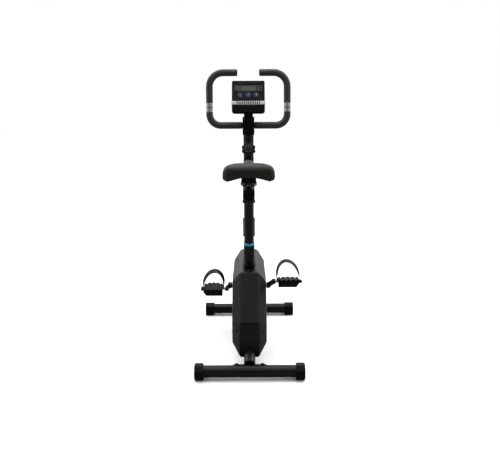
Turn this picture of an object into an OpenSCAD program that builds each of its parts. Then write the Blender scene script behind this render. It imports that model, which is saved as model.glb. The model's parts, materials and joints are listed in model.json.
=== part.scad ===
// Upright magnetic exercise bike.
// X is across the bike, +Y is the way the rider faces, Z is up, and z = 0 is the floor.
// The crank axle lies on y = 0, and the foot bars stand the same way out behind and in front.

/* [Stand] */
// Width over the end caps of both foot bars
foot_w = 460; // [440:1:480]
// Outside diameter of the foot bars
foot_d = 50.8; // [48:0.1:52]
// Distance of the rear foot bar behind the crank axle
rear_foot_y = 380; // [375:1:385]
// Distance of the front foot bar ahead of the crank axle
front_foot_y = 369; // [365:1:372]

/* [Frame] */
// Outside diameter of the frame tubes
tube_d = 48; // [46:0.5:50]
// Height of the lower beam's axis
beam_z = 98; // [97:1:99]
// Backward lean of the seat tube, in degrees
seat_lean = 11.5; // [11:0.1:12]
// Backward lean of the mast, in degrees
mast_lean = 3.3; // [3:0.1:3.6]

/* [Drive] */
// Height of the crank axle
axle_z = 285.6; // [284:0.2:287]
// Distance from the crank axle to the pedal spindle
crank_len = 132; // [128:1:136]
// Angle of the right crank above the horizontal, pointing rearward
crank_angle = 25.5; // [20:0.5:30]
// Radius of the drive pulley
pulley_r = 90; // [86:1:92]
// Radius of the flywheel
flywheel_r = 104; // [98:1:104]

/* [Seat] */
// Outside diameter of the seat post
post_d = 40; // [38:0.5:41]
// Width of the saddle
saddle_w = 216; // [210:1:220]

/* [Handlebar] */
// Half the width of the handlebar loop, to the tube's axis
bar_half = 182; // [178:1:186]
// Outside diameter of the handlebar tube
bar_d = 25.4; // [25:0.1:26]
// Outside diameter of the foam grips
grip_d = 32; // [31:0.5:33]

/* [Console] */
// Width of the console
console_w = 154; // [150:1:158]
// Height of the console along its face
console_h = 162; // [158:1:164]
// Lean of the console face from upright, in degrees
console_lean = 27; // [25:1:29]

/* [Hidden] */
$fn = 64;
hull_fn = 32;
fit = 0.05;              // radial play of a running fit
gap = 0.3;               // clearance between pieces that only pass each other
tube_r = tube_d / 2;
tube_wall = 2;

// Stand
foot_r = foot_d / 2;
lift = 1.5;              // how far each levelling cap is bored off its own centre
leveller_af = 68;        // across the flats of the levelling cap
leveller_w = 37;
rear_z = leveller_af / 2 + lift;
front_z = 33;
front_cap_r = 31.2;
front_cap_w = 45;
plate_half = 68.5;       // half width of the plates that bolt the frame to the foot bars
plate_t = 4;
bolt_x = 53.5;
wheel_r = 21;
wheel_w = 20;
wheel_x = 214;
wheel_y = front_foot_y + 24;
wheel_z = 27;
wheel_pin_r = 3;

// Lower beam: two short legs drop from it to the plates
leg_rear = [0, -rear_foot_y + 4, foot_d + 14];
beam_rear = [0, -290, beam_z];
beam_front = [0, 285, beam_z];
leg_front = [0, front_foot_y - 4, foot_d + 12];

// Seat tube: its axis passes seat_ref
seat_ref = [0, -115, 405];
seat_top = 117;          // along the axis above seat_ref
seat_foot = -305;
bush_h = 11;

// Mast: its axis passes the handlebar's lower bar
bar_c = [0, 200, 1006.5];
mast_joint = -514;       // where the mast meets the frame's stub, along the axis
spigot_top = -430;
mast_top = -42;
mast_foot = -905;
mast_bolt_s = [-499, -469];
clamp_screw_s = [-30, 28];

// Shroud: corner points (y, z) of its rim, and how the sides slope in to their faces
rim = [[-200, 410], [-330, 226], [-333, 172], [-322, 70], [300, 70], [340, 200], [260, 389]];
rim_half = 40;
side_half = 74;
side_inset = 49;
shell_t = 2.5;
// each screw: y, z, and the x where its head sits
shroud_screw_at = [
    [-262, 250, 66], [-314, 188, 48], [300, 150, 53],
    [300, 240, 52], [-150, 372, 62], [120, 372, 53]];

// Drive
axle_r = 8.5;
shell_half = 34;
pulley_x = 44;
pulley_w = 8;
crank_in = 84;            // inner face of the crank arm at its hub
crank_t = 11;
crank_out = 118;
fly_c = [0, 180, 224];
fly_x = -47;
fly_w = 26;
fly_axle_r = 6;
small_r = 15;
magnet_pivot = [0, 100, 336];
magnet_in = 4;
magnet_out = 11;
pedal_in = 128;
pedal_out = 220;
pedal_groove_x = [142, 163, 184, 205];
pedal_top = 14;
pedal_drop = 19;
spindle_r = 6;
strap_w = 26;
lug_in_z = 8;
lug_out_z = 6;

// Seat slide
slide_top = 781;
slide_h = 35;
slide_w = 48;
slide_rear = -285;
slide_len = 128;
slide_c = slide_top - slide_h / 2;
inner_w = 42;
inner_h = 28;
slide_slot_y = -240;
knob_y = -257;
slide_knob_r = 26.5;
tilt_c = [0, -222, 800];
rail_x = 22;
rail_z = 816;
arch_z = 844;
arch_r = 205;             // radius of the hollow under the saddle
rail_r = 3.5;

// Handlebar
bar_lean = 8.5;
bar_h = 243.7;
bend_low = 53;
bend_top = 64;
grip_end = 54;
sensor_lo = 62;
sensor_mid = 80;
sensor_hi = 104;

// Tension knob
knob_c = [0, 158, 897];
knob_lean = 22;
knob_r = 32;

// Console
console_c = [0, 206.8, 1139.6];
front_t = 12;
back_t = 14;
button_z = 9;
button_x = 37;
button_r = 10.5;
lens_c = 43;
trim_z = -33;

// Places
module along(p, lean) translate(p) rotate([lean, 0, 0]) children();
module on_bar() along(bar_c, -bar_lean) children();
module on_knob() translate(knob_c) rotate([90 - knob_lean, 0, 0]) children();
module on_console() translate(console_c) rotate([90 - console_lean, 0, 0]) children();
module profile_yz(x0, x1) translate([x0, 0, 0]) rotate([90, 0, 90]) linear_extrude(x1 - x0) children();
module both() {
    children();
    mirror([1, 0, 0]) children();
}
module x_rod(x0, x1, r) translate([x0, 0, 0]) rotate([0, 90, 0]) cylinder(h = x1 - x0, r = r);
module rod(a, b, r) {
    v = b - a;
    translate(a) rotate([0, acos(v[2] / norm(v)), atan2(v[1], v[0])]) cylinder(h = norm(v), r = r);
}
module rounded(w, h, r) {
    for (x = [r - w / 2, w / 2 - r], y = [r - h / 2, h / 2 - r]) translate([x, y]) circle(r);
    square([w - 2 * r, h], center = true);
    square([w, h - 2 * r], center = true);
}
module screw(head_r, head_h, r, len) {
    difference() {
        cylinder(h = head_h, r = head_r);
        translate([0, 0, head_h - 1.5]) cylinder(h = 2, r = head_r / 2, $fn = 6);
    }
    translate([0, 0, -len]) cylinder(h = len + 0.01, r = r);
}

// Frame
module foot_bore(y, z) translate([0, y, z]) x_rod(-120, 120, foot_r);
module foot_plate(y, z) {
    difference() {
        translate([0, y, z]) x_rod(-plate_half, plate_half, foot_r + plate_t);
        translate([-100, y - 60, z - 100]) cube([200, 120, 112]);
    }
}
module beam_solid() {
    rod(leg_rear, beam_rear + [0, 9, 3], tube_r - 0.2);
    rod(beam_rear - [0, 6, 0], beam_front + [0, 6, 0], tube_r);
    rod(beam_front + [0, -9, 3], leg_front, tube_r - 0.2);
}
module fly_plate(side) {
    profile_yz(side > 0 ? tube_r - 1 : -tube_r - 6, side > 0 ? tube_r + 6 : 1 - tube_r)
        polygon(side > 0
            ? [[150, 90], [212, 90], [198, 246], [162, 246]]
            : [[130, 90], [212, 90], [202, 246], [128, 352], [88, 352], [88, 322], [162, 208]]);
}
module main_frame() color("#1c1c1d") difference() {
    union() {
        beam_solid();
        foot_plate(-rear_foot_y, rear_z);
        foot_plate(front_foot_y, front_z);
        along(seat_ref, seat_lean) translate([0, 0, seat_foot])
            cylinder(h = seat_top - seat_foot, r = tube_r);
        along(bar_c, mast_lean) {
            translate([0, 0, mast_foot]) cylinder(h = mast_joint - mast_foot, r = tube_r);
            translate([0, 0, mast_joint - 1])
                cylinder(h = spigot_top - mast_joint + 1, r = tube_r - tube_wall);
        }
        translate([0, 0, axle_z]) x_rod(-shell_half, shell_half, 21);
        profile_yz(-12, 12)
            polygon([[-92, axle_z - 16], [0, axle_z - 18], [0, axle_z + 10], [-92, axle_z + 14]]);
        profile_yz(-12, 12) polygon([[-14, beam_z], [14, beam_z], [12, axle_z], [-12, axle_z]]);
        fly_plate(1);
        fly_plate(-1);
        translate(magnet_pivot) x_rod(-62, -tube_r, 4);
    }
    foot_bore(-rear_foot_y, rear_z);
    foot_bore(front_foot_y, front_z);
    along(seat_ref, seat_lean) translate([0, 0, -270]) cylinder(h = 500, r = tube_r - tube_wall);
    along(bar_c, mast_lean) translate([0, 0, mast_foot + 40]) cylinder(h = 900, r = 18);
    rod(beam_rear + [0, 12, 0], beam_front - [0, 12, 0], tube_r - 2.5);
    along(bar_c, mast_lean) for (s = mast_bolt_s)
        translate([0, 60, s]) rotate([90, 0, 0]) cylinder(h = 60, r = 4);
    translate([0, 0, axle_z]) x_rod(-60, 60, 17);
    translate(fly_c) x_rod(-60, 60, fly_axle_r + fit);
    for (x = [-bolt_x, bolt_x]) {
        translate([x, -rear_foot_y, rear_z]) cylinder(h = 60, r = 4.2);
        translate([x, front_foot_y, front_z]) cylinder(h = 60, r = 4.2);
    }
    rod(cable_route[3], cable_route[4], 3.2);
    along(seat_ref, seat_lean) translate([0, 0, 70]) rotate([-90, 0, 0]) cylinder(h = 60, r = 6.1);
}
module foot_tube(y, z, half) translate([0, y, z]) difference() {
    x_rod(-half, half, foot_r);
    x_rod(-half - 1, half + 1, foot_r - tube_wall);
    for (x = [-bolt_x, bolt_x]) translate([x, 0, 0]) cylinder(h = 60, r = 4.2);
}
module rear_foot_tube() color("#18181a") foot_tube(-rear_foot_y, rear_z, foot_w / 2 - 8);
module front_foot_tube() color("#18181a") foot_tube(front_foot_y, front_z, foot_w / 2 - 34);
module foot_bolts() color("#26262a")
    for (x = [-bolt_x, bolt_x], f = [[-rear_foot_y, rear_z], [front_foot_y, front_z]])
    translate([x, f[0], f[1] + foot_r + plate_t - 0.02]) screw(7, 5, 4, 30);
module leveller() color("#111112") translate([0, -rear_foot_y, rear_z]) difference() {
    translate([foot_w / 2 - leveller_w, 0, -lift]) rotate([0, 90, 0]) rotate([0, 0, 22.5])
        cylinder(h = leveller_w, r = leveller_af / 2 / cos(22.5), $fn = 8);
    x_rod(0, foot_w / 2 - 7.5, foot_r + fit);
}
module leveller_left() mirror([1, 0, 0]) leveller();
module leveller_right() leveller();
module front_cap() difference() {
    union() {
        translate([foot_w / 2 - front_cap_w, front_foot_y, front_z]) rotate([0, 90, 0])
            cylinder(h = front_cap_w, r = front_cap_r);
        translate([foot_w / 2 - front_cap_w, front_foot_y - 16, 0]) cube([front_cap_w, 32, 20]);
    }
    translate([0, front_foot_y, front_z]) x_rod(0, foot_w / 2 - 34, foot_r + 0.01);
    translate([0, wheel_y, wheel_z]) {
        x_rod(wheel_x - wheel_w / 2 - 1, wheel_x + wheel_w / 2 + 1, wheel_r + 1.5);
        x_rod(foot_w / 2 - 33, foot_w / 2 - 2, wheel_pin_r + 0.01);
        translate([wheel_x - wheel_w / 2 - 1, 0, -40]) cube([wheel_w + 2, 40, 80]);
    }
}
module front_caps() color("#111112") both() front_cap();
module wheel(side) color("#202022") translate([side * wheel_x, wheel_y, wheel_z]) difference() {
    rotate([0, 90, 0]) rotate_extrude() polygon([
        [wheel_pin_r + fit, -wheel_w / 2], [wheel_r - 2, -wheel_w / 2],
        [wheel_r, 2 - wheel_w / 2], [wheel_r, wheel_w / 2 - 2], [wheel_r - 2, wheel_w / 2],
        [wheel_pin_r + fit, wheel_w / 2]]);
}
module wheel_left() wheel(-1);
module wheel_right() wheel(1);
module wheel_axles() color("#8d8f92") both()
    translate([0, wheel_y, wheel_z]) x_rod(foot_w / 2 - 32, foot_w / 2 - 3, wheel_pin_r);

// Shroud
module shroud_solid(t) intersection() {
    hull() {
        profile_yz(0, rim_half - 0.4 * t) offset(delta = -t) polygon(rim);
        profile_yz(0, side_half - t) offset(delta = -side_inset - 0.4 * t) polygon(rim);
    }
    translate([gap / 2, -500, 0]) cube([200, 1000, 500]);
}
module shroud_cuts() {
    along(seat_ref, seat_lean) translate([0, 0, -400]) cylinder(h = 600, r = tube_r + gap);
    along(bar_c, mast_lean) translate([0, 0, -900]) cylinder(h = 600, r = tube_r + gap);
    rod(leg_rear + [0, -16, -7.5], beam_rear, tube_r + 1);
    rod(beam_front, leg_front + [0, 16, -7.5], tube_r + 1);
    translate([0, 0, axle_z]) x_rod(0, 120, 24);
}
module shroud_half() difference() {
    union() {
        difference() {
            shroud_solid(0);
            shroud_solid(shell_t);
        }
        intersection() {
            for (p = shroud_screw_at) translate([0, p[0], p[1]]) x_rod(gap / 2, 80, 6);
            shroud_solid(0);
        }
    }
    shroud_cuts();
    for (p = shroud_screw_at) translate([0, p[0], p[1]]) x_rod(-1, 90, 2.5);
    for (p = shroud_screw_at) translate([0, p[0], p[1]]) x_rod(p[2], 90, 5);
}
module shroud_right() color("#2a2a2b") shroud_half();
module shroud_left() color("#2a2a2b") mirror([1, 0, 0]) shroud_half();
module shroud_screws() color("#3a3a3c") for (p = shroud_screw_at) translate([p[2] + 3, p[0], p[1]])
    rotate([0, 90, 0]) translate([0, 0, -3]) screw(4.6, 2.6, 2.4, p[2] + 30);
module seat_tube_collar() color("#0e0e0f") along(seat_ref, seat_lean) difference() {
    translate([0, 0, 8]) cylinder(h = 12, r = tube_r + 3);
    translate([0, 0, 0]) cylinder(h = 40, r = tube_r + 0.01);
}

// Seat
module seat_bushing() color("#2fb4cf") along(seat_ref, seat_lean) difference() {
    union() {
        translate([0, 0, seat_top - 60]) cylinder(h = 61, r = tube_r - tube_wall - 0.01);
        translate([0, 0, seat_top]) cylinder(h = bush_h, r = tube_r);
    }
    translate([0, 0, seat_top - 80]) cylinder(h = 140, r = post_d / 2 + fit);
    translate([0, 0, 70]) rotate([-90, 0, 0]) cylinder(h = 60, r = 6.1);
}
module slide_bar() translate([-inner_w / 2, -262, slide_c - inner_h / 2])
    cube([inner_w, 134, inner_h]);
module seat_post() color("#232324") difference() {
    union() {
        intersection() {
            along(seat_ref, seat_lean) translate([0, 0, -110]) cylinder(h = 600, r = post_d / 2);
            translate([-50, -400, 0]) cube([100, 500, slide_c]);
        }
        slide_bar();
    }
    along(seat_ref, seat_lean) translate([0, 0, -120]) cylinder(h = 440, r = post_d / 2 - tube_wall);
    along(seat_ref, seat_lean) for (i = [-6:6])
        translate([0, 0, 70 + i * 25]) rotate([-90, 0, 0]) cylinder(h = 60, r = 5);
}
module seat_lock_knob() color("#101011")
    along(seat_ref, seat_lean) translate([0, 0, 70]) rotate([-90, 0, 0]) {
    translate([0, 0, post_d / 2 + 0.4]) cylinder(h = 40 - post_d / 2, r = 6);
    translate([0, 0, 40]) cylinder(h = 22, r = 15);
    for (i = [0:5]) rotate([0, 0, 60 * i]) translate([14, 0, 40]) cylinder(h = 22, r = 5);
}
module seat_slide() color("#19191a") difference() {
    union() {
        translate([-slide_w / 2, slide_rear + 4, slide_top - slide_h])
            cube([slide_w, slide_len - 8, slide_h]);
        translate([0, tilt_c[1], slide_top - 1]) cylinder(h = 9, r = 15);
        translate([0, knob_y, slide_top - slide_h - 2]) cylinder(h = 4, r = 12);
    }
    slide_bore();
    translate([-post_d / 2 - 1.2, slide_slot_y, slide_top - slide_h - 5]) cube([post_d + 2.4, 200, 10]);
    translate([0, knob_y, slide_top - slide_h - 10]) cylinder(h = 20, r = 4 + fit);
}
module slide_bore() translate([-inner_w / 2 - fit, -400, slide_c - inner_h / 2 - fit])
    cube([inner_w + 2 * fit, 400, inner_h + 2 * fit]);
module slide_end_cap() color("#131314") {
    difference() {
        translate([0, slide_rear, slide_c]) rotate([-90, 0, 0])
            linear_extrude(4) rounded(slide_w, slide_h, 5);
        slide_bore();
    }
    translate([0, slide_rear, slide_c]) rotate([-90, 0, 0])
        linear_extrude(1.5) square([inner_w + 1, inner_h + 1], center = true);
}
module slide_lock_knob() color("#0f0f10") translate([0, knob_y, slide_top - slide_h - 2.4]) {
    translate([0, 0, -18]) cylinder(h = 14, r = slide_knob_r - 4);
    translate([0, 0, -23]) cylinder(h = 22, r = 16);
    for (i = [0:7]) rotate([0, 0, 45 * i]) translate([slide_knob_r - 6, 0, -19]) cylinder(h = 16, r = 6);
    translate([0, 0, -2]) cylinder(h = 7.5, r = 4);
}
module lobe(x, y, z, r) translate([x, y, z]) sphere(r, $fn = hull_fn);
module saddle_pad() color("#26231f") difference() {
    hull() {
        for (s = [-1, 1]) {
            lobe(s * (saddle_w / 2 - 32), -303, 857, 31);
            lobe(s * (saddle_w / 2 - 20), -300, 844, 18.5);
            lobe(s * (saddle_w / 2 - 44), -270, 856, 32);
        }
        lobe(0, -311, 854, 38);
        lobe(0, -112, 854, 28);
    }
    translate([0, 0, arch_z - arch_r]) rotate([90, 0, 0])
        translate([0, 0, 60]) cylinder(h = 320, r = arch_r);
}
module saddle_pan() color("#141415") {
    intersection() {
        hull() {
            for (s = [-1, 1]) translate([s * 52, -290, 800]) cylinder(h = 100, r = 24, $fn = hull_fn);
            translate([0, -118, 800]) cylinder(h = 100, r = 15, $fn = hull_fn);
        }
        translate([0, -60, arch_z - arch_r]) rotate([90, 0, 0]) difference() {
            cylinder(h = 320, r = arch_r - gap);
            translate([0, 0, -1]) cylinder(h = 330, r = arch_r - 4);
        }
    }
    translate([-30, -304, rail_z]) cube([60, 12, arch_z - rail_z - 3.5]);
    translate([-14, -140, rail_z]) cube([28, 12, arch_z - rail_z - 3.5]);
}
module saddle_rails() color("#3b3c3f") for (s = [-1, 1]) {
    rod([s * rail_x, -270, rail_z], [s * rail_x, -175, rail_z], rail_r);
    rod([s * rail_x, -291, rail_z + 4], [s * rail_x, -270, rail_z], rail_r);
    rod([s * rail_x, -175, rail_z], [s * 10, -141, rail_z + 5], rail_r);
    for (p = [[s * rail_x, -270, rail_z], [s * rail_x, -175, rail_z]]) translate(p) sphere(rail_r + 0.1);
}
module saddle_clamp() color("#17171a") translate(tilt_c) difference() {
    union() {
        translate([0, 0, slide_top + 8 - tilt_c[2]]) cylinder(h = 8, r = 11);
        x_rod(-15, 15, 10);
    }
    x_rod(-20, 20, 4 + fit);
}
module clamp_cheeks() color("#1d1d20") difference() {
    for (s = [-1, 1]) translate(tilt_c) {
        mirror([s > 0 ? 0 : 1, 0, 0]) x_rod(15.3, 28, 12.5);
        translate([s * 21.65 - 6.35, -16, 8]) cube([12.7, 32, 13]);
    }
    translate(tilt_c) x_rod(-40, 40, 4 + fit);
    for (s = [-1, 1]) translate([s * rail_x, 0, rail_z]) rotate([90, 0, 0])
        cylinder(h = 400, r = rail_r + 0.01);
}
module saddle_clamp_bolt() color("#77797c") translate(tilt_c) {
    x_rod(-33, 33, 4);
    both() translate([28.3, 0, 0]) rotate([0, 90, 0]) cylinder(h = 5.5, r = 7.5, $fn = 6);
}

// Mast
module mast() color("#1b1b1c") difference() {
    along(bar_c, mast_lean) difference() {
        union() {
            translate([0, 0, mast_joint]) cylinder(h = mast_top - mast_joint + 1, r = tube_r);
            translate([-27.5, 0.1, mast_top]) cube([55, 25, 80]);
        }
        translate([0, 0, mast_joint - 1]) cylinder(h = 440, r = tube_r - tube_wall + 0.01);
        x_rod(-40, 40, bar_d / 2 + fit);
        for (s = mast_bolt_s) translate([0, 60, s]) rotate([90, 0, 0]) cylinder(h = 60, r = 4.01);
        for (s = clamp_screw_s) translate([0, 30, s]) rotate([90, 0, 0]) cylinder(h = 60, r = 3.01);
    }
    on_knob() translate([0, 0, -50]) cylinder(h = 40, r = 8);
}
module mast_cover() color("#262627") along(bar_c, mast_lean) difference() {
    translate([0, 0, mast_joint - 30]) {
        cylinder(h = 85, r = 30);
        translate([0, 0, 85]) cylinder(h = 8, r1 = 30, r2 = 27);
    }
    translate([0, 0, mast_joint - 60]) cylinder(h = 200, r = tube_r + 0.01);
    for (s = mast_bolt_s) translate([0, 60, s]) rotate([90, 0, 0]) cylinder(h = 50, r = 8);
}
module mast_bolts() color("#77797c") along(bar_c, mast_lean) {
    for (s = mast_bolt_s) translate([0, tube_r + 0.01, s]) rotate([-90, 0, 0]) screw(7, 4, 4, 12);
    for (s = clamp_screw_s) translate([0, -20, s]) rotate([90, 0, 0]) screw(5, 4, 3, 34);
}
module knob_housing() color("#161617") difference() {
    hull() {
        on_knob() translate([0, 0, -4]) cylinder(h = 4, r = 25, $fn = hull_fn);
        along(bar_c, mast_lean) translate([-22, -24, -150]) cube([44, 10, 74]);
    }
    along(bar_c, mast_lean) translate([0, 0, -300]) cylinder(h = 400, r = tube_r + 0.01);
    on_knob() translate([0, 0, -60]) cylinder(h = 46, r = 9);
    on_knob() translate([0, 0, -30]) cylinder(h = 40, r = 4 + fit);
}
module tension_knob() color("#121213") on_knob() translate([0, 0, gap]) {
    difference() {
        union() {
            cylinder(h = 12, r = knob_r - 4);
            for (i = [0:7]) rotate([0, 0, 45 * i + 22.5])
                translate([knob_r - 5, 0, 0]) cylinder(h = 13, r = 7);
            cylinder(h = 16, r = 21);
        }
        translate([0, 0, 15]) rotate_extrude() translate([15, 0]) square([2, 2]);
    }
    translate([0, 0, -24]) cylinder(h = 25, r = 4);
}
cable_route = [[0, 186, 893], [0, 205, 872], [0, 228, 520], [0, 236, 380], [-30, 140, 345]];
module tension_cable() color("#0c0c0d") {
    for (i = [0:3]) rod(cable_route[i], cable_route[i + 1], 2.5);
    for (i = [1:3]) translate(cable_route[i]) sphere(2.6);
}

// Handlebar
module bar_straight(x0, z0, len, along_x, r)
    translate([x0, 0, z0]) rotate([0, along_x ? 90 : 0, 0]) cylinder(h = len, r = r);
module bar_bend(cx, cz, bend, start, r) translate([cx, 0, cz]) rotate([90, 0, 0]) rotate([0, 0, start])
    rotate_extrude(angle = 90) translate([bend, 0]) circle(r);
module loop_right(r, x0) {
    bar_straight(x0, 0, bar_half - bend_low - x0, true, r);
    bar_bend(bar_half - bend_low, bend_low, bend_low, -90, r);
    bar_straight(bar_half, bend_low, bar_h - bend_low - bend_top, false, r);
    bar_bend(bar_half - bend_top, bar_h - bend_top, bend_top, 0, r);
    bar_straight(grip_end, bar_h, bar_half - bend_top - grip_end, true, r);
}
module handlebar_tube() color("#2b2b2d") on_bar() difference() {
    both() loop_right(bar_d / 2, -0.01);
    both() loop_right(bar_d / 2 - 1.8, -0.1);
    both() translate([0, 0, bar_h]) x_rod(grip_end - 1, grip_end + 22, bar_d / 2 - 1.8);
}
module grips() color("#2f2f31") on_bar() both() difference() {
    loop_right(grip_d / 2, 29);
    x_rod(20, bar_half - bend_low, bar_d / 2 + 0.01);
    bar_bend(bar_half - bend_low, bend_low, bend_low, -90, bar_d / 2 + 0.01);
    bar_straight(bar_half, bend_low, bar_h - bend_low - bend_top, false, bar_d / 2 + 0.01);
    bar_bend(bar_half - bend_top, bar_h - bend_top, bend_top, 0, bar_d / 2 + 0.01);
    bar_straight(grip_end - 5, bar_h, bar_half - bend_top - grip_end + 5, true, bar_d / 2 + 0.01);
    translate([bar_half, 0, sensor_lo]) cylinder(h = sensor_hi - sensor_lo, r = 30);
}
module bar_end_plugs() color("#0d0d0e") on_bar() both() translate([grip_end, 0, bar_h]) {
    x_rod(-3, 0, grip_d / 2 - 1);
    x_rod(-1, 18, bar_d / 2 - 1.81);
}
module pulse_sensors() color("#8a8b8c") on_bar() both() translate([bar_half, 0, 0]) difference() {
    union() {
        translate([0, 0, sensor_lo]) cylinder(h = sensor_mid - sensor_lo, r = grip_d / 2 - 0.5);
        translate([0, 0, sensor_mid]) cylinder(h = 3, r = grip_d / 2 - 2);
        translate([0, 0, sensor_mid + 3]) cylinder(h = sensor_hi - sensor_mid - 3, r = grip_d / 2 - 0.5);
    }
    translate([0, 0, sensor_lo - 1]) cylinder(h = 60, r = bar_d / 2 + 0.01);
}
module clamp_cap() color("#131314") along(bar_c, mast_lean) difference() {
    translate([-27.5, -25, mast_top + 1 + gap]) cube([55, 25, 79 - gap]);
    x_rod(-40, 40, bar_d / 2 + fit);
    for (s = clamp_screw_s) translate([0, 30, s]) rotate([90, 0, 0]) cylinder(h = 60, r = 3.01);
    for (s = clamp_screw_s) translate([0, -20, s]) rotate([90, 0, 0]) cylinder(h = 30, r = 5.5);
}
module console_bracket() color("#161617") along(bar_c, mast_lean) {
    translate([-21, 10, mast_top + 80]) cube([42, 5, 62]);
    translate([-21, 0, mast_top + 80]) cube([42, 12, 5]);
}

// Console
module console_outline(inset) rounded(console_w - 2 * inset, console_h - 2 * inset, 14 - inset / 2);
module console_front() color("#18191b") on_console() difference() {
    translate([0, 0, -front_t]) linear_extrude(front_t) console_outline(0);
    translate([0, 0, -front_t - 1]) linear_extrude(front_t - 1.5) console_outline(2.5);
    translate([0, lens_c, -5]) linear_extrude(10) rounded(112, 34, 3);
    for (x = [-button_x, 0, button_x]) translate([x, button_z, -5]) cylinder(h = 10, r = button_r + gap);
}
module console_back() color("#131415") difference() {
    on_console() difference() {
        hull() {
            translate([0, 0, -front_t - 4]) linear_extrude(4) console_outline(0, $fn = hull_fn);
            translate([0, 0, -front_t - back_t]) linear_extrude(2) console_outline(14, $fn = hull_fn);
        }
        hull() {
            translate([0, 0, -front_t - 4]) linear_extrude(5) console_outline(2.5, $fn = hull_fn);
            translate([0, 0, -front_t - back_t + 2.5])
                linear_extrude(2) console_outline(16, $fn = hull_fn);
        }
    }
    along(bar_c, mast_lean) translate([-21.2, 9.8, 0]) cube([42.4, 5.4, 200]);
}
module console_lens() color("#202226") on_console() difference() {
    translate([0, lens_c, -2.5]) linear_extrude(2.3) rounded(111.9, 33.9, 3);
}
module lcd_panel() color("#7d7f74") on_console()
    translate([0, lens_c, -4.5]) linear_extrude(1.9) square([72, 27], center = true);
module console_trim() color("#a9a6a1") on_console() translate([0, trim_z, 0]) difference() {
    translate([0, 0, 0.01]) linear_extrude(2.2) rounded(console_w + 4, 19, 3);
    for (i = [-6:6]) translate([i * 8.6, 0, 1.4]) linear_extrude(2) square([3, 19.5], center = true);
}
module button(x) color("#3a3d48") on_console() translate([x, button_z, 0]) {
    translate([0, 0, -4.6]) cylinder(h = 5.8, r = button_r);
}
module button_left() button(-button_x);
module button_middle() button(0);
module button_right() button(button_x);
module circuit_board() color("#1f5a35") on_console()
    translate([0, 12, -9]) linear_extrude(1.6) square([118, 96], center = true);

// Drive
module crank_axle() color("#6f7174")
    translate([0, 0, axle_z]) x_rod(-crank_in - 10, crank_in + 10, axle_r);
module axle_bearings() color("#9a9ca0") translate([0, 0, axle_z]) both() difference() {
    x_rod(shell_half - 12, shell_half, 16.99);
    x_rod(0, 60, axle_r + fit);
}
module crank_arm() {
    difference() {
        union() {
            x_rod(crank_in - 4, crank_in + 14, 14.5);
            translate([0, 0, -10.5]) linear_extrude(21) polygon([[crank_in, 0], [crank_in + crank_t, 0],
                [crank_out - 5, crank_len - 8], [crank_out - 5, crank_len],
                [crank_out - 5 - crank_t, crank_len],
                [crank_out - 5 - crank_t, crank_len - 5]]);
            translate([0, crank_len, 0]) x_rod(crank_out - 17, crank_out - 2, 12.5);
        }
        x_rod(0, crank_in + 10, axle_r + 0.01);
        x_rod(crank_in + 11, 200, 9);
        translate([0, crank_len, 0]) x_rod(crank_in, 200, spindle_r + 0.01);
    }
}
module crank_right() color("#1a1a1b")
    translate([0, 0, axle_z]) rotate([180 - crank_angle, 0, 0]) crank_arm();
module crank_left() color("#1a1a1b")
    translate([0, 0, axle_z]) rotate([-crank_angle, 0, 0]) mirror([1, 0, 0]) crank_arm();
module drive_pulley() color("#3f4144") translate([0, 0, axle_z]) rotate([0, 90, 0]) difference() {
    translate([0, 0, pulley_x - 4]) rotate_extrude() polygon([
        [axle_r + 0.01, -4], [26, -4], [26, 2], [pulley_r - 8, 2],
        [pulley_r - 8, 0], [pulley_r, 0], [pulley_r, pulley_w],
        [pulley_r - 8, pulley_w], [pulley_r - 8, 6],
        [26, 6], [26, 10], [axle_r + 0.01, 10]]);
    for (i = [0:5]) rotate([0, 0, 60 * i]) translate([54, 0, 0]) cylinder(h = 100, r = 15);
}
module drive_belt() color("#0d0d0e") {
    span = norm([fly_c[1], fly_c[2] - axle_z]);
    dip = atan2(fly_c[2] - axle_z, fly_c[1]);
    wrap = asin((pulley_r - small_r) / span);
    translate([pulley_x - 4, 0, axle_z]) rotate([dip, 0, 0]) rotate([90, 0, 90]) difference() {
        linear_extrude(pulley_w) polygon(belt_points(span, wrap, 3));
        translate([0, 0, -1]) linear_extrude(pulley_w + 2) polygon(belt_points(span, wrap, 0.45));
    }
}
function belt_points(span, wrap, grow) = concat(
    [for (a = [90 - wrap:4:270 + wrap]) (pulley_r + grow) * [cos(a), sin(a)]],
    [for (a = [wrap - 90:6:90 - wrap]) [span, 0] + (small_r + grow) * [cos(a), sin(a)]]);
module flywheel() color("#55585c") translate(fly_c) {
    translate([fly_x, 0, 0]) rotate([0, 90, 0]) rotate_extrude() polygon([
        [0, -fly_w / 2], [24, -fly_w / 2], [24, -5],
        [flywheel_r - 24, -5], [flywheel_r - 22, -fly_w / 2],
        [flywheel_r, -fly_w / 2], [flywheel_r, fly_w / 2],
        [flywheel_r - 22, fly_w / 2], [flywheel_r - 24, 5], [24, 5], [24, fly_w / 2], [0, fly_w / 2]]);
    x_rod(fly_x, pulley_x + 6, fly_axle_r);
    x_rod(pulley_x - 5, pulley_x + 5, small_r);
}
module magnet_bracket() color("#8b8f94") difference() {
    union() {
        translate(fly_c) rotate([90, 0, 90]) rotate([0, 0, 62])
            translate([0, 0, fly_x - 14]) rotate_extrude(angle = 56)
            translate([flywheel_r + magnet_in, 0]) square([magnet_out - magnet_in, 28]);
        translate([0, magnet_pivot[1], magnet_pivot[2]]) profile_yz(-60, -34)
            polygon([[-6, 0], [-2, -6], [18, -13.5], [31, -11], [34, -5], [26, -2], [4, 6]]);
        translate(magnet_pivot) x_rod(-61, -33, 9);
    }
    translate(magnet_pivot) x_rod(-80, 0, 4 + fit);
}

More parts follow.
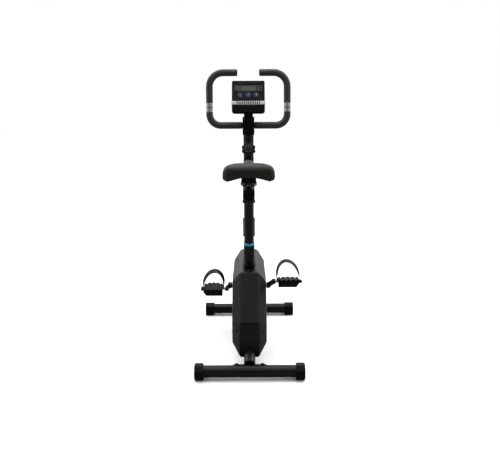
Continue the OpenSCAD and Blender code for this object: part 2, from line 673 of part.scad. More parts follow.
// Pedals, drawn about their own spindle
function strap_point(t, r) = [174 - r * cos(t) - 9 * sin(t), (r + 41) * pow(max(sin(t), 0), 0.8)];
module pedal_spindles() color("#8d8f92") for (side = [-1, 1]) pedal_pair(side) {
    x_rod(crank_out - 17, pedal_out - 10, spindle_r);
    x_rod(crank_out - 1.98, crank_out + 2, 9);
}
module pedal_outline() {
    translate([(pedal_in + pedal_out) / 2, 0]) {
        square([pedal_out - pedal_in, 50], center = true);
        translate([0, -10]) square([pedal_out - pedal_in, 70], center = true);
        intersection() {
            translate([0, -15]) circle(60);
            translate([-46, 0]) square([92, 60]);
        }
    }
}
module pedal() difference() {
    union() {
        intersection() {
            translate([0, 0, -pedal_drop]) linear_extrude(pedal_drop + pedal_top) pedal_outline();
            translate([0, 100, 0]) rotate([90, 0, 0]) linear_extrude(200) polygon([
                [pedal_in, pedal_top], [pedal_out, pedal_top], [pedal_out, 0],
                [pedal_out - 14, -pedal_drop], [pedal_in, -pedal_drop]]);
        }
        translate([pedal_in - 7, -strap_w / 2 - 2, lug_in_z])
            cube([8, strap_w + 4, pedal_top - lug_in_z]);
        translate([pedal_out - 1, -strap_w / 2 - 2, -lug_out_z])
            cube([15, strap_w + 4, 2 * lug_out_z]);
    }
    x_rod(100, pedal_out - 8, spindle_r + fit);
    for (x = pedal_groove_x)
        translate([x - 4, -60, pedal_top - 4]) cube([8, 120, 10]);
}
module pedal_pair(side)
    translate([0, side * -crank_len * cos(crank_angle), axle_z + side * crank_len * sin(crank_angle)])
    rotate([side > 0 ? -8 : 5, 0, 0]) mirror([side > 0 ? 0 : 1, 0, 0]) children();
module pedal_right() color("#1d1d1f") pedal_pair(1) pedal();
module pedal_left() color("#1d1d1f") pedal_pair(-1) pedal();
module strap() translate([0, strap_w / 2, 0]) rotate([90, 0, 0]) linear_extrude(strap_w) difference() {
    polygon([for (t = [0:10:180]) strap_point(t, 52)]);
    polygon([for (t = [0:10:180]) strap_point(t, 49.8)]);
    translate([100, -10]) square([70, 10 + pedal_top]);
    translate([170, -10]) square([90, 10 + lug_out_z]);
}
module strap_right() color("#3c3c3e") pedal_pair(1) strap();
module strap_left() color("#3c3c3e") pedal_pair(-1) strap();

main_frame();
rear_foot_tube();
front_foot_tube();
foot_bolts();
leveller_left();
leveller_right();
front_caps();
wheel_left();
wheel_right();
wheel_axles();
shroud_left();
shroud_right();
shroud_screws();
seat_tube_collar();
seat_bushing();
seat_post();
seat_lock_knob();
seat_slide();
slide_end_cap();
slide_lock_knob();
saddle_pad();
saddle_pan();
saddle_rails();
saddle_clamp();
clamp_cheeks();
saddle_clamp_bolt();
mast();
mast_cover();
mast_bolts();
knob_housing();
tension_knob();
tension_cable();
handlebar_tube();
grips();
bar_end_plugs();
pulse_sensors();
clamp_cap();
console_bracket();
console_back();
console_front();
console_lens();
lcd_panel();
console_trim();
button_left();
button_middle();
button_right();
circuit_board();
crank_axle();
axle_bearings();
crank_left();
crank_right();
drive_pulley();
drive_belt();
flywheel();
magnet_bracket();
pedal_spindles();
pedal_left();
pedal_right();
strap_left();
strap_right();
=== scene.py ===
import json
import math

import bmesh
import bpy
from mathutils import Matrix, Vector
from mathutils.bvhtree import BVHTree
from mathutils.kdtree import KDTree


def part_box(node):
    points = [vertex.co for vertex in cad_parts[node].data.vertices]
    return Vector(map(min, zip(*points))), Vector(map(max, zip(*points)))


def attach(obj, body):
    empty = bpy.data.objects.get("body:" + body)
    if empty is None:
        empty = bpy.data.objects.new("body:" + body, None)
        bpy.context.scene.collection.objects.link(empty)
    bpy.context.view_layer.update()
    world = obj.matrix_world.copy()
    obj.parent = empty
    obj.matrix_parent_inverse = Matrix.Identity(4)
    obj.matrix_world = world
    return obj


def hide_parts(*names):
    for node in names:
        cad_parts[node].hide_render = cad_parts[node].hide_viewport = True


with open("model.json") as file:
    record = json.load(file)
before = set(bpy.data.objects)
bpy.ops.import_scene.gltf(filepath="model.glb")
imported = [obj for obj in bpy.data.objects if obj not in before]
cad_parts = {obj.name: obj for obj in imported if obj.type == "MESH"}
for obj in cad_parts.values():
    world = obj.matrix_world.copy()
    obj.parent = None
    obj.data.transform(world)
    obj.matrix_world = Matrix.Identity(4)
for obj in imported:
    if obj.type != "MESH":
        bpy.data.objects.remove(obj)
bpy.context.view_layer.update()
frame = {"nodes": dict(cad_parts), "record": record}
NODES = frame["nodes"]

# The camera stands behind the bike on its middle plane, about level with the handlebar's upper bar.
CAMERA_AT = (0.0, -2.855, 1.242)
CAMERA_PITCH = math.radians(13.2)
CAMERA_ROLL = math.radians(0.3)
CAMERA_SHIFT = 0.0036
LENS_MM = 46.4
SENSOR_MM = 36

# Driving dimensions, in metres, as the CAD part has them.
AXLE_Z = 0.2856
CRANK_LEN = 0.132
CRANK_ANGLE = math.radians(25.5)
SEAT_REF = Vector((0, -0.115, 0.405))
SEAT_LEAN = math.radians(11.5)
BAR_C = Vector((0, 0.200, 1.0065))
MAST_LEAN = math.radians(3.3)
BAR_LEAN = math.radians(-8.5)
CONSOLE_C = Vector((0, 0.2068, 1.1396))
CONSOLE_TURN = math.radians(63)
KNOB_C = Vector((0, 0.158, 0.897))
KNOB_TURN = math.radians(68)
BODY_OF = {n: b for b, ns in frame["record"]["behaviour"]["bodies"].items() for n in ns}
SLOT_OF = {s["node"]: s["material_slot"] for s in frame["record"]["subparts"]}


# ---------------------------------------------------------------- materials

def node_material(name, rgb, roughness, metallic=0.0, **sockets):
    """A material whose uniform values sit on the shader's own sockets."""
    mat = bpy.data.materials.new(name)
    mat.use_nodes = True
    shader = mat.node_tree.nodes["Principled BSDF"]
    shader.inputs["Base Color"].default_value = (*rgb, 1)
    shader.inputs["Roughness"].default_value = roughness
    shader.inputs["Metallic"].default_value = metallic
    for label, value in sockets.items():
        shader.inputs[label.replace("_", " ")].default_value = value
    return mat, mat.node_tree, shader


def object_coords(tree):
    return tree.nodes.new("ShaderNodeTexCoord").outputs["Object"]


def noise(tree, scale, detail=3.0, coords=None, stretch=None):
    coords = coords or object_coords(tree)
    if stretch:
        mapping = tree.nodes.new("ShaderNodeMapping")
        mapping.inputs["Scale"].default_value = stretch
        tree.links.new(coords, mapping.inputs["Vector"])
        coords = mapping.outputs["Vector"]
    tex = tree.nodes.new("ShaderNodeTexNoise")
    tex.inputs["Scale"].default_value = scale
    tex.inputs["Detail"].default_value = detail
    tree.links.new(coords, tex.inputs["Vector"])
    return tex.outputs["Fac"]


def voronoi(tree, scale, feature="F1", coords=None):
    tex = tree.nodes.new("ShaderNodeTexVoronoi")
    tex.feature = feature
    tex.inputs["Scale"].default_value = scale
    tree.links.new(coords or object_coords(tree), tex.inputs["Vector"])
    return tex.outputs["Distance"]


def remap(tree, value, low, high, to_low, to_high):
    node = tree.nodes.new("ShaderNodeMapRange")
    node.inputs["From Min"].default_value = low
    node.inputs["From Max"].default_value = high
    node.inputs["To Min"].default_value = to_low
    node.inputs["To Max"].default_value = to_high
    tree.links.new(value, node.inputs["Value"])
    return node.outputs["Result"]


def mix_colour(tree, factor, first, second):
    node = tree.nodes.new("ShaderNodeMix")
    node.data_type = "RGBA"
    node.inputs[6].default_value = (*first, 1)
    node.inputs[7].default_value = (*second, 1)
    tree.links.new(factor, node.inputs[0])
    return node.outputs[2]


def scaled(rgb, factor, lift=0.0):
    return [c * factor + lift for c in rgb]


def set_colour(tree, shader, factor, first, second):
    tree.links.new(mix_colour(tree, factor, first, second), shader.inputs["Base Color"])


def set_roughness(tree, shader, value, low, high):
    tree.links.new(remap(tree, value, 0.3, 0.7, low, high), shader.inputs["Roughness"])


def bump(tree, shader, height, strength, distance):
    node = tree.nodes.new("ShaderNodeBump")
    node.inputs["Strength"].default_value = strength
    node.inputs["Distance"].default_value = distance
    tree.links.new(height, node.inputs["Height"])
    previous = shader.inputs["Normal"].links
    if previous:
        tree.links.new(previous[0].from_socket, node.inputs["Normal"])
    tree.links.new(node.outputs["Normal"], shader.inputs["Normal"])


def edge_rubbed_and_lit(tree, low=0.52, high=0.6):
    """Brighter where the surface bends sharply outward: partly rubbed wear, partly a painted highlight on
    rounded edges.
    """
    point = tree.nodes.new("ShaderNodeNewGeometry").outputs["Pointiness"]
    return remap(tree, point, low, high, 0.0, 1.0)


def moulded(name, rgb, roughness, grain=900, depth=0.00012, rubbed_and_lit=0.25, **sockets):
    """Moulded plastic: fine grain, slow colour drift, and edges painted lighter, partly as rubbed wear and
    partly as a painted highlight.
    """
    mat, tree, shader = node_material(name, rgb, roughness, **sockets)
    slow = noise(tree, 9, 2)
    base = mix_colour(tree, remap(tree, slow, 0.3, 0.7, 0, 1), scaled(rgb, 0.75), scaled(rgb, 1.2))
    node = tree.nodes.new("ShaderNodeMix")
    node.data_type = "RGBA"
    node.inputs[7].default_value = (*scaled(rgb, 1.5, 0.006), 1)
    tree.links.new(base, node.inputs[6])
    # The edges are lightened here: part rubbed wear, part painted highlight along the rounded edges.
    tree.links.new(remap(tree, edge_rubbed_and_lit(tree), 0, 1, 0, rubbed_and_lit), node.inputs[0])
    tree.links.new(node.outputs[2], shader.inputs["Base Color"])
    set_roughness(tree, shader, noise(tree, 60, 3), roughness - 0.05, roughness + 0.06)
    bump(tree, shader, voronoi(tree, grain), 0.25, depth)
    return mat


def powder_coat(name, rgb, roughness=0.42, **sockets):
    """Powder coat on steel: orange peel, and a little dust and handling wear."""
    mat, tree, shader = node_material(name, rgb, roughness, **sockets)
    shader.inputs["Specular IOR Level"].default_value = 0.13
    shader.inputs["Coat Weight"].default_value = 0.05
    shader.inputs["Coat Roughness"].default_value = 0.2
    dust = remap(tree, noise(tree, 14, 5), 0.45, 0.75, 0, 0.35)
    set_colour(tree, shader, dust, rgb, scaled(rgb, 1.5, 0.004))
    set_roughness(tree, shader, noise(tree, 35, 4), roughness - 0.06, roughness + 0.08)
    bump(tree, shader, noise(tree, 420, 2), 0.12, 0.0002)
    return mat


def plated(name, rgb, roughness=0.28, brush=None):
    """Plated or brushed metal."""
    mat, tree, shader = node_material(name, rgb, roughness, 1.0)
    fine = noise(tree, 220, 4, stretch=brush or (1, 1, 1))
    set_colour(tree, shader, noise(tree, 25, 4), scaled(rgb, 0.72), rgb)
    set_roughness(tree, shader, fine, roughness - 0.08, roughness + 0.14)
    bump(tree, shader, fine, 0.15, 0.0001)
    return mat


def vinyl(name, rgb):
    """Grained vinyl: small cells with creases between them, the creases painted darker as shade, softer
    where it is sat on.
    """
    mat, tree, shader = node_material(name, rgb, 0.44, Specular_IOR_Level=0.2)
    shader.inputs["Sheen Weight"].default_value = 0.02
    shader.inputs["Sheen Roughness"].default_value = 0.5
    cells = voronoi(tree, 330, "SMOOTH_F1")
    shaded_creases = voronoi(tree, 330, "DISTANCE_TO_EDGE")
    folds = noise(tree, 38, 5)
    # The creases between the grain's cells are painted darker: painted shade.
    set_colour(tree, shader, remap(tree, shaded_creases, 0, 0.12, 0, 1), scaled(rgb, 0.55), scaled(rgb, 1.15))
    set_roughness(tree, shader, noise(tree, 12, 4), 0.4, 0.54)
    bump(tree, shader, folds, 0.12, 0.0012)
    bump(tree, shader, cells, 0.35, 0.00035)
    return mat


def foam(name, rgb):
    """Closed cell foam grip: a fine pitted skin that scatters light, its pits painted darker as shade."""
    mat, tree, shader = node_material(name, rgb, 0.62, Specular_IOR_Level=0.4)
    shader.inputs["Sheen Weight"].default_value = 0.05
    shader.inputs["Sheen Roughness"].default_value = 0.45
    pits = voronoi(tree, 620)
    # The pits are painted darker: painted shade in the hollows of the skin.
    set_colour(tree, shader, remap(tree, pits, 0, 0.35, 0, 1), scaled(rgb, 0.6), rgb)
    set_roughness(tree, shader, noise(tree, 45, 4), 0.54, 0.7)
    bump(tree, shader, pits, 0.5, 0.0003)
    bump(tree, shader, noise(tree, 70, 4), 0.12, 0.0008)
    return mat


def cast_iron(name, rgb):
    """Cast iron, coarse and mottled."""
    mat, tree, shader = node_material(name, rgb, 0.4, 0.8)
    set_colour(tree, shader, noise(tree, 60, 6), scaled(rgb, 0.6), rgb)
    bump(tree, shader, noise(tree, 180, 5), 0.3, 0.0003)
    return mat


def display_glass(name):
    """The grey green display, faintly banded."""
    mat, tree, shader = node_material(name, (0.085, 0.087, 0.078), 0.4, Specular_IOR_Level=0.15)
    wave = tree.nodes.new("ShaderNodeTexWave")
    wave.inputs["Scale"].default_value = 90
    wave.inputs["Distortion"].default_value = 0
    tree.links.new(object_coords(tree), wave.inputs["Vector"])
    tone = remap(tree, wave.outputs["Fac"], 0, 1, 0.0, 0.12)
    set_colour(tree, shader, tone, (0.066, 0.067, 0.060), (0.05, 0.051, 0.046))
    bump(tree, shader, noise(tree, 300, 2), 0.05, 0.0001)
    return mat


def overlay_film(name):
    """Printed film on the console: near black, with a navy glow around the buttons."""
    mat, tree, shader = node_material(name, (0.012, 0.0125, 0.015), 0.2, Specular_IOR_Level=0.08)
    mapping = tree.nodes.new("ShaderNodeMapping")
    mapping.vector_type = "TEXTURE"
    mapping.inputs["Location"].default_value = on_console(0.004, 0.004, 0.0)
    mapping.inputs["Scale"].default_value = (0.052, 0.03, 0.03)
    tree.links.new(object_coords(tree), mapping.inputs["Vector"])
    glow = tree.nodes.new("ShaderNodeTexGradient")
    glow.gradient_type = "SPHERICAL"
    tree.links.new(mapping.outputs["Vector"], glow.inputs["Vector"])
    set_colour(tree, shader, glow.outputs["Fac"], (0.0065, 0.0065, 0.0075), (0.005, 0.007, 0.032))
    bump(tree, shader, noise(tree, 500, 2), 0.06, 0.0001)
    return mat


# ---------------------------------------------------------------- placing

def on_console(x, y, z):
    """A point on the console's face: x across, y up the face, z out of it towards the rider."""
    return CONSOLE_C + Matrix.Rotation(CONSOLE_TURN, 3, "X") @ Vector((x, y, z))


def leaned(place, angle):
    """A frame at a place, turned about x."""
    return Matrix.Translation(place) @ Matrix.Rotation(angle, 4, "X")


CONSOLE_AT = leaned(CONSOLE_C, CONSOLE_TURN)
KNOB_AT = leaned(KNOB_C, KNOB_TURN)
BAR_AT = leaned(BAR_C, BAR_LEAN)
MAST_AT = leaned(BAR_C, MAST_LEAN)
SEAT_AT = leaned(SEAT_REF, SEAT_LEAN)


def sided(name, side):
    return name + ("_right" if side > 0 else "_left")


def pedal_matrix(side):
    """The pedal's frame: its spindle along x, drawn for the right side and mirrored for the left."""
    place = Matrix.Translation((0, -side * CRANK_LEN * math.cos(CRANK_ANGLE),
                                AXLE_Z + side * CRANK_LEN * math.sin(CRANK_ANGLE)))
    tilt = Matrix.Rotation(math.radians(-8 if side > 0 else 5), 4, "X")
    return place @ tilt @ Matrix.Diagonal((side, 1, 1, 1))


def shade(obj, angle):
    """Smooth shading, kept sharp where faces meet at more than the angle."""
    for poly in obj.data.polygons:
        poly.use_smooth = True
    obj.data.set_sharp_from_angle(angle=math.radians(angle))


def make_object(name, bm, matrix=None, sharp=35):
    """Turns a bmesh into an object whose mesh holds its place."""
    if matrix is not None:
        bmesh.ops.transform(bm, matrix=matrix, verts=bm.verts)
        if matrix.to_3x3().determinant() < 0:
            bmesh.ops.reverse_faces(bm, faces=bm.faces)
    mesh = bpy.data.meshes.new(name)
    bm.to_mesh(mesh)
    bm.free()
    obj = bpy.data.objects.new(name, mesh)
    bpy.context.scene.collection.objects.link(obj)
    shade(obj, sharp)
    return obj


def apply_modifiers(obj):
    graph = bpy.context.evaluated_depsgraph_get()
    mesh = bpy.data.meshes.new_from_object(obj.evaluated_get(graph), depsgraph=graph)
    obj.modifiers.clear()
    old = obj.data
    obj.data = mesh
    bpy.data.meshes.remove(old)
    return obj


def even_shading(obj, sharp):
    """Smooth shading whose normals follow the larger faces."""
    shade(obj, sharp)
    weighted = obj.modifiers.new("shading", "WEIGHTED_NORMAL")
    weighted.keep_sharp = True
    return apply_modifiers(obj)


def round_edges(obj, width, segments=3, angle=30):
    """Rounds the hard edges, as a mould or a deburred edge leaves them."""
    bev = obj.modifiers.new("edges", "BEVEL")
    bev.width = width
    bev.segments = segments
    bev.limit_method = "ANGLE"
    bev.angle_limit = math.radians(angle)
    bev.miter_outer = "MITER_ARC"
    apply_modifiers(obj)
    return even_shading(obj, 50)


def flip_side(obj):
    """Turns a piece drawn for the right into the left one."""
    obj.data.transform(Matrix.Diagonal((-1, 1, 1, 1)))
    obj.data.flip_normals()


def settle(obj, mat, *nodes, body=None, slot=None):
    """Gives a piece its material and its body, and hides the nodes it stands for; its slot is not used."""
    obj.data.materials.clear()
    obj.data.materials.append(mat)
    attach(obj, body or BODY_OF[nodes[0]])
    if nodes:
        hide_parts(*nodes)
    return obj


def fit_to(node, obj, mat, slot=None):
    """Settles a small extra piece on a node's body; it stands for no node."""
    return settle(obj, mat, body=BODY_OF[node], slot=slot or SLOT_OF[node])


def softened(node, width, mat, segments=3, angle=30):
    """A copy of a CAD node with its edges rounded, which stands for the node."""
    bm = bmesh.new()
    bm.from_mesh(NODES[node].data)
    bmesh.ops.remove_doubles(bm, verts=bm.verts, dist=0.00002)
    bmesh.ops.dissolve_limit(bm, angle_limit=math.radians(1.0), verts=bm.verts, edges=bm.edges)
    obj = make_object(node + "_finished", bm)
    round_edges(obj, width, segments, angle)
    return settle(obj, mat, node)


def full_turn(steps):
    """The angles of a full turn in equal steps."""
    return [2 * math.pi * i / steps for i in range(steps)]


def loft(bm, outlines, closed=True, matrix=None):
    """Joins outlines of equally many points into a skin, and closes its two ends."""
    rings = [[bm.verts.new(point) for point in outline] for outline in outlines]
    for low, high in zip(rings, rings[1:]):
        for i in range(len(low)):
            j = (i + 1) % len(low)
            bm.faces.new((low[i], low[j], high[j], high[i]))
    if closed:
        bm.faces.new(list(reversed(rings[0])))
        bm.faces.new(rings[-1])
    if matrix is not None:
        bmesh.ops.transform(bm, matrix=matrix, verts=[v for ring in rings for v in ring])
    return rings


def lathe(bm, profile, steps=64, matrix=None, closed=True):
    """Spins (radius, height) points round the local z axis."""
    rings = [[(r * math.cos(a), r * math.sin(a), z) for a in full_turn(steps)] for r, z in profile]
    loft(bm, rings, closed, matrix)


def prism(bm, outline, low, high, matrix=None):
    """Extrudes a closed (x, y) outline from z = low to z = high."""
    loft(bm, [[(x, y, z) for x, y in outline] for z in (low, high)], True, matrix)


def block(bm, low, high, matrix=None):
    (x0, y0, z0), (x1, y1, z1) = low, high
    prism(bm, [(x0, y0), (x1, y0), (x1, y1), (x0, y1)], z0, z1, matrix)


def arc(cx, cy, r, start, end, steps=8):
    """Points along an arc; angles in degrees."""
    out = []
    for i in range(steps + 1):
        a = math.radians(start + (end - start) * i / steps)
        out.append((cx + r * math.cos(a), cy + r * math.sin(a)))
    return out


def rounded_box(w, h, r, steps=6):
    """A rectangle centred on the origin with round corners."""
    x, y = w / 2 - r, h / 2 - r
    corners = ((x, -y, -90), (x, y, 0), (-x, y, 90), (-x, -y, 180))
    return [point for cx, cy, start in corners for point in arc(cx, cy, r, start, start + 90, steps)]


def tube(bm, path, radii, steps=28):
    """Sweeps a circle along a path; radii gives each ring's radius."""
    rings = []
    side = None
    for i, p in enumerate(path):
        ahead = path[min(i + 1, len(path) - 1)] - path[max(i - 1, 0)]
        ahead.normalize()
        if side is None:
            side = ahead.cross(Vector((0, 1, 0.01))).normalized()
        side = (side - ahead * side.dot(ahead)).normalized()
        up = ahead.cross(side)
        rings.append([p + (side * math.cos(a) + up * math.sin(a)) * radii[i] for a in full_turn(steps)])
    loft(bm, rings)


# ---------------------------------------------------------------- camera, light and floor

def add_camera():
    cam = bpy.data.objects.new("camera", bpy.data.cameras.new("camera"))
    cam.location = CAMERA_AT
    cam.rotation_euler = (math.radians(90) - CAMERA_PITCH, CAMERA_ROLL, 0)
    cam.data.lens = LENS_MM
    cam.data.sensor_width = SENSOR_MM
    cam.data.shift_x = CAMERA_SHIFT
    bpy.context.scene.collection.objects.link(cam)
    bpy.context.scene.camera = cam


def add_light(name, place, aim, size, power):
    data = bpy.data.lights.new(name, "AREA")
    data.shape = "RECTANGLE"
    data.size, data.size_y = size
    data.energy = power
    lamp = bpy.data.objects.new(name, data)
    lamp.location = place
    lamp.visible_camera = False
    lamp.rotation_euler = (Vector(aim) - Vector(place)).to_track_quat("-Z", "Y").to_euler()
    bpy.context.scene.collection.objects.link(lamp)


def add_world():
    """White ahead of the camera and overhead, dim elsewhere; plain white where the camera sees it."""
    scene = bpy.context.scene
    scene.view_settings.view_transform = "Standard"
    world = bpy.data.worlds.new("studio")
    scene.world = world
    world.use_nodes = True
    tree = world.node_tree
    parts = tree.nodes.new("ShaderNodeSeparateXYZ")
    tree.links.new(tree.nodes.new("ShaderNodeTexCoord").outputs["Generated"], parts.inputs["Vector"])
    ahead = remap(tree, parts.outputs["Y"], -0.35, 0.6, 0.04, 0.9)
    above = remap(tree, parts.outputs["Z"], 0.75, 1.0, 0.0, 1.0)
    brighter = tree.nodes.new("ShaderNodeMath")
    brighter.operation = "MAXIMUM"
    tree.links.new(ahead, brighter.inputs[0])
    tree.links.new(above, brighter.inputs[1])
    tree.links.new(brighter.outputs["Value"], tree.nodes["Background"].inputs["Strength"])
    tree.nodes["Background"].inputs["Color"].default_value = (1, 1, 1, 1)
    backdrop = tree.nodes.new("ShaderNodeBackground")
    backdrop.inputs["Color"].default_value = (1, 1, 1, 1)
    either = tree.nodes.new("ShaderNodeMixShader")
    tree.links.new(tree.nodes.new("ShaderNodeLightPath").outputs["Is Camera Ray"], either.inputs["Fac"])
    tree.links.new(tree.nodes["Background"].outputs["Background"], either.inputs[1])
    tree.links.new(backdrop.outputs["Background"], either.inputs[2])
    tree.links.new(either.outputs["Shader"], tree.nodes["World Output"].inputs["Surface"])


def add_lights():
    add_light("overhead", (0, 0.2, 3.4), (0, 0, 0.5), (2.4, 2.4), 60)
    add_light("left_panel", (-2.4, 1.2, 2.3), (0, 0, 0.6), (1.2, 1.8), 26)
    add_light("right_panel", (2.4, 1.2, 2.3), (0, 0, 0.6), (1.2, 1.8), 26)
    add_light("left_fill", (-3.2, -1.2, 1.4), (0, 0, 0.6), (1.8, 2.4), 26)
    add_light("right_fill", (3.2, -1.2, 1.4), (0, 0, 0.6), (1.8, 2.4), 26)
    sun = bpy.data.objects.new("soft_sun", bpy.data.lights.new("soft_sun", "SUN"))
    sun.data.energy = 2.0
    sun.data.angle = math.radians(120)
    bpy.context.scene.collection.objects.link(sun)


def add_floor():
    """A pale floor, dimmer to reflected rays than to the camera."""
    floor = bmesh.new()
    bmesh.ops.create_grid(floor, x_segments=2, y_segments=2, size=12)
    obj = make_object("floor", floor)
    mat, tree, shader = node_material("floor_finish", (0.94, 0.94, 0.94), 0.8, Specular_IOR_Level=0.1)
    bump(tree, shader, noise(tree, 40, 3), 0.03, 0.001)
    seen = tree.nodes.new("ShaderNodeLightPath").outputs["Is Camera Ray"]
    set_colour(tree, shader, seen, (0.28, 0.28, 0.28), (0.94, 0.94, 0.94))
    obj.data.materials.append(mat)


add_camera()
add_world()
add_lights()
add_floor()

paint = powder_coat("frame_coat", (0.0045, 0.0044, 0.0044), 0.32)
bar_paint = powder_coat("bar_coat", (0.004, 0.004, 0.0042), 0.28)
black_nylon = moulded("black_nylon", (0.0016, 0.0016, 0.0017), 0.42, Specular_IOR_Level=0.09)
shroud_abs = moulded("shroud_abs", (0.0050, 0.0048, 0.0044), 0.32, 700, 0.00015, 0.0,
                     Specular_IOR_Level=0.16)
pedal_nylon = moulded("pedal_nylon", (0.0018, 0.0018, 0.0019), 0.38, Specular_IOR_Level=0.09)
knob_nylon = moulded("knob_nylon", (0.0025, 0.0025, 0.0026), 0.26, Specular_IOR_Level=0.16)
console_abs = moulded("console_abs", (0.0035, 0.0036, 0.0038), 0.24, Specular_IOR_Level=0.14)
console_gloss = moulded("console_gloss", (0.001, 0.001, 0.001), 0.12, 2500, 0.00002,
                        Specular_IOR_Level=0.08)
# The blue plastic's edges are painted strongly lighter: a painted highlight along the ring's rims, with
# some rubbed wear.
blue_nylon = moulded("blue_nylon", (0.02, 0.30, 0.44), 0.22, rubbed_and_lit=0.6)
strap_rubber = moulded("strap_pvc", (0.012, 0.012, 0.0128), 0.42, Specular_IOR_Level=0.18)
wheel_rubber = moulded("wheel_tpr", (0.012, 0.012, 0.012), 0.6)
belt_rubber = moulded("belt_epdm", (0.01, 0.01, 0.01), 0.65)
cable_pvc = moulded("cable_pvc", (0.009, 0.009, 0.01), 0.4)
button_rubber = moulded("button_rubber", (0.009, 0.011, 0.032), 0.38, Specular_IOR_Level=0.15)
trim_silver = plated("trim_silver", (0.36, 0.35, 0.33), 0.34, (1, 40, 1))
zinc = plated("zinc_plate", (0.45, 0.46, 0.48), 0.3)
dark_zinc = plated("dark_zinc", (0.12, 0.12, 0.13), 0.34)
black_zinc = plated("black_zinc", (0.014, 0.014, 0.015), 0.36)
sensor_steel = plated("sensor_steel", (0.37, 0.37, 0.38), 0.46, (1, 1, 30))
rail_steel = plated("rail_steel", (0.2, 0.2, 0.21), 0.32)
bracket_steel = plated("bracket_steel", (0.4, 0.41, 0.43), 0.36)
iron = cast_iron("cast_iron", (0.16, 0.16, 0.165))
saddle_vinyl = vinyl("saddle_vinyl", (0.0105, 0.0096, 0.0080))
grip_foam = foam("grip_foam", (0.012, 0.012, 0.0125))
film = overlay_film("console_film")
display = display_glass("display_glass")
ink = moulded("pale_ink", (0.15, 0.155, 0.18), 0.5, 3000, 0.00002, Specular_IOR_Level=0.1)
ink_dim = moulded("dim_ink", (0.24, 0.24, 0.25), 0.5, 3000, 0.00002, Specular_IOR_Level=0.1)
board_green = moulded("board_green", (0.02, 0.12, 0.05), 0.4)
cheek_steel = plated("cheek_steel", (0.30, 0.30, 0.31), 0.34)
thread_black = moulded("thread_black", (0.03, 0.03, 0.03), 0.55, 3000, 0.00005)
bezel_film = moulded("bezel_film", (0.006, 0.006, 0.0065), 0.3, 2500, 0.00003, Specular_IOR_Level=0.1)
segment_grey = moulded("segment_grey", (0.055, 0.057, 0.05), 0.4, 3000, 0.00002)
reflector_smoke = moulded("reflector_smoke", (0.006, 0.0056, 0.005), 0.18, 260, 0.0004,
                          Specular_IOR_Level=0.15)
bright_ink = moulded("bright_ink", (0.55, 0.56, 0.6), 0.4, 3000, 0.00002)


# ---------------------------------------------------------------- CAD nodes with their edges rounded

for cad_node, width, finish in (
    ("foot_bolts", 0.0006, black_zinc),
    ("shroud_screws", 0.0004, dark_zinc),
    ("seat_slide", 0.0012, paint),
    ("slide_end_cap", 0.0008, black_nylon),
    ("mast_bolts", 0.0006, black_zinc),
    ("saddle_pan", 0.0006, black_nylon),
    ("saddle_clamp", 0.0008, dark_zinc),
    ("saddle_clamp_bolt", 0.0005, zinc),
    ("clamp_cheeks", 0.0012, cheek_steel),
    ("clamp_cap", 0.0024, black_nylon),
    ("console_bracket", 0.0008, paint),
    ("console_back", 0.0016, console_abs),
    ("crank_axle", 0.0006, zinc),
    ("crank_left", 0.0014, paint),
    ("crank_right", 0.0014, paint),
    ("seat_tube_collar", 0.0016, black_nylon),
    ("front_caps", 0.0014, black_nylon),
    ("magnet_bracket", 0.0006, bracket_steel),
    ("circuit_board", 0.0002, board_green),
):
    softened(cad_node, width, finish)

for cad_node, finish in (
    ("main_frame", paint), ("rear_foot_tube", paint), ("front_foot_tube", paint), ("seat_post", paint),
    ("mast", paint), ("saddle_rails", rail_steel), ("wheel_axles", zinc), ("tension_cable", cable_pvc),
    ("handlebar_tube", bar_paint), ("axle_bearings", zinc), ("drive_pulley", iron),
    ("drive_belt", belt_rubber), ("flywheel", iron), ("pedal_spindles", zinc),
):
    mesh = NODES[cad_node].data
    mesh.materials.clear()
    mesh.materials.append(finish)


# ---------------------------------------------------------------- shroud

RIM = [(-0.200, 0.410), (-0.330, 0.226), (-0.333, 0.172), (-0.322, 0.070), (0.300, 0.070), (0.340, 0.200),
       (0.260, 0.389)]
RIM_HALF = 0.040
SIDE_HALF = 0.074
SIDE_INSET = 0.049
SEAM = 0.00015
WALL = 0.0022
PANEL_IN = 0.014
PANEL_FLOOR_IN = 0.0175
PANEL_SINK = 0.0025
SHELL_CUTS = [("seat", SEAT_AT @ Vector((0, 0, -0.35)), SEAT_AT @ Vector((0, 0, 0.15)), 0.0243),
              ("mast", MAST_AT @ Vector((0, 0, -0.9)), MAST_AT @ Vector((0, 0, -0.35)), 0.0243),
              ("rear_leg", (0, -0.392, 0.0573), (0, -0.29, 0.098), 0.025),
              ("front_leg", (0, 0.285, 0.098), (0, 0.381, 0.0553), 0.025),
              ("crank", (0.05, 0, AXLE_Z), (0.12, 0, AXLE_Z), 0.024)]
SCREWS = [(-0.262, 0.250, 0.066), (-0.314, 0.188, 0.048), (0.300, 0.150, 0.053), (0.300, 0.240, 0.052),
          (-0.150, 0.372, 0.062), (0.120, 0.372, 0.053)]


def inset_polygon(points, d):
    """The polygon's sides moved inwards by d."""
    out = []
    n = len(points)
    for i in range(n):
        p0, p1, p2 = Vector(points[i - 1]), Vector(points[i]), Vector(points[(i + 1) % n])
        a, b = (p1 - p0).normalized(), (p2 - p1).normalized()
        na, nb = Vector((-a.y, a.x)), Vector((-b.y, b.x))
        mid = (na + nb).normalized()
        out.append(p1 + mid * d / mid.dot(na))
    return out


def cut_with(obj, cutter, name):
    """Cuts a tool shape out of a piece."""
    mod = obj.modifiers.new(name, "BOOLEAN")
    mod.operation = "DIFFERENCE"
    mod.solver = "EXACT"
    mod.object = cutter
    apply_modifiers(obj)
    bpy.data.objects.remove(cutter)


def rod_tool(start, end, r, steps=48):
    bm = bmesh.new()
    tube(bm, [Vector(start), Vector(end)], [r, r], steps)
    return make_object("tool", bm)


def prism_tool(outline, low, high, matrix=None):
    bm = bmesh.new()
    prism(bm, outline, low, high, matrix)
    return make_object("tool", bm)


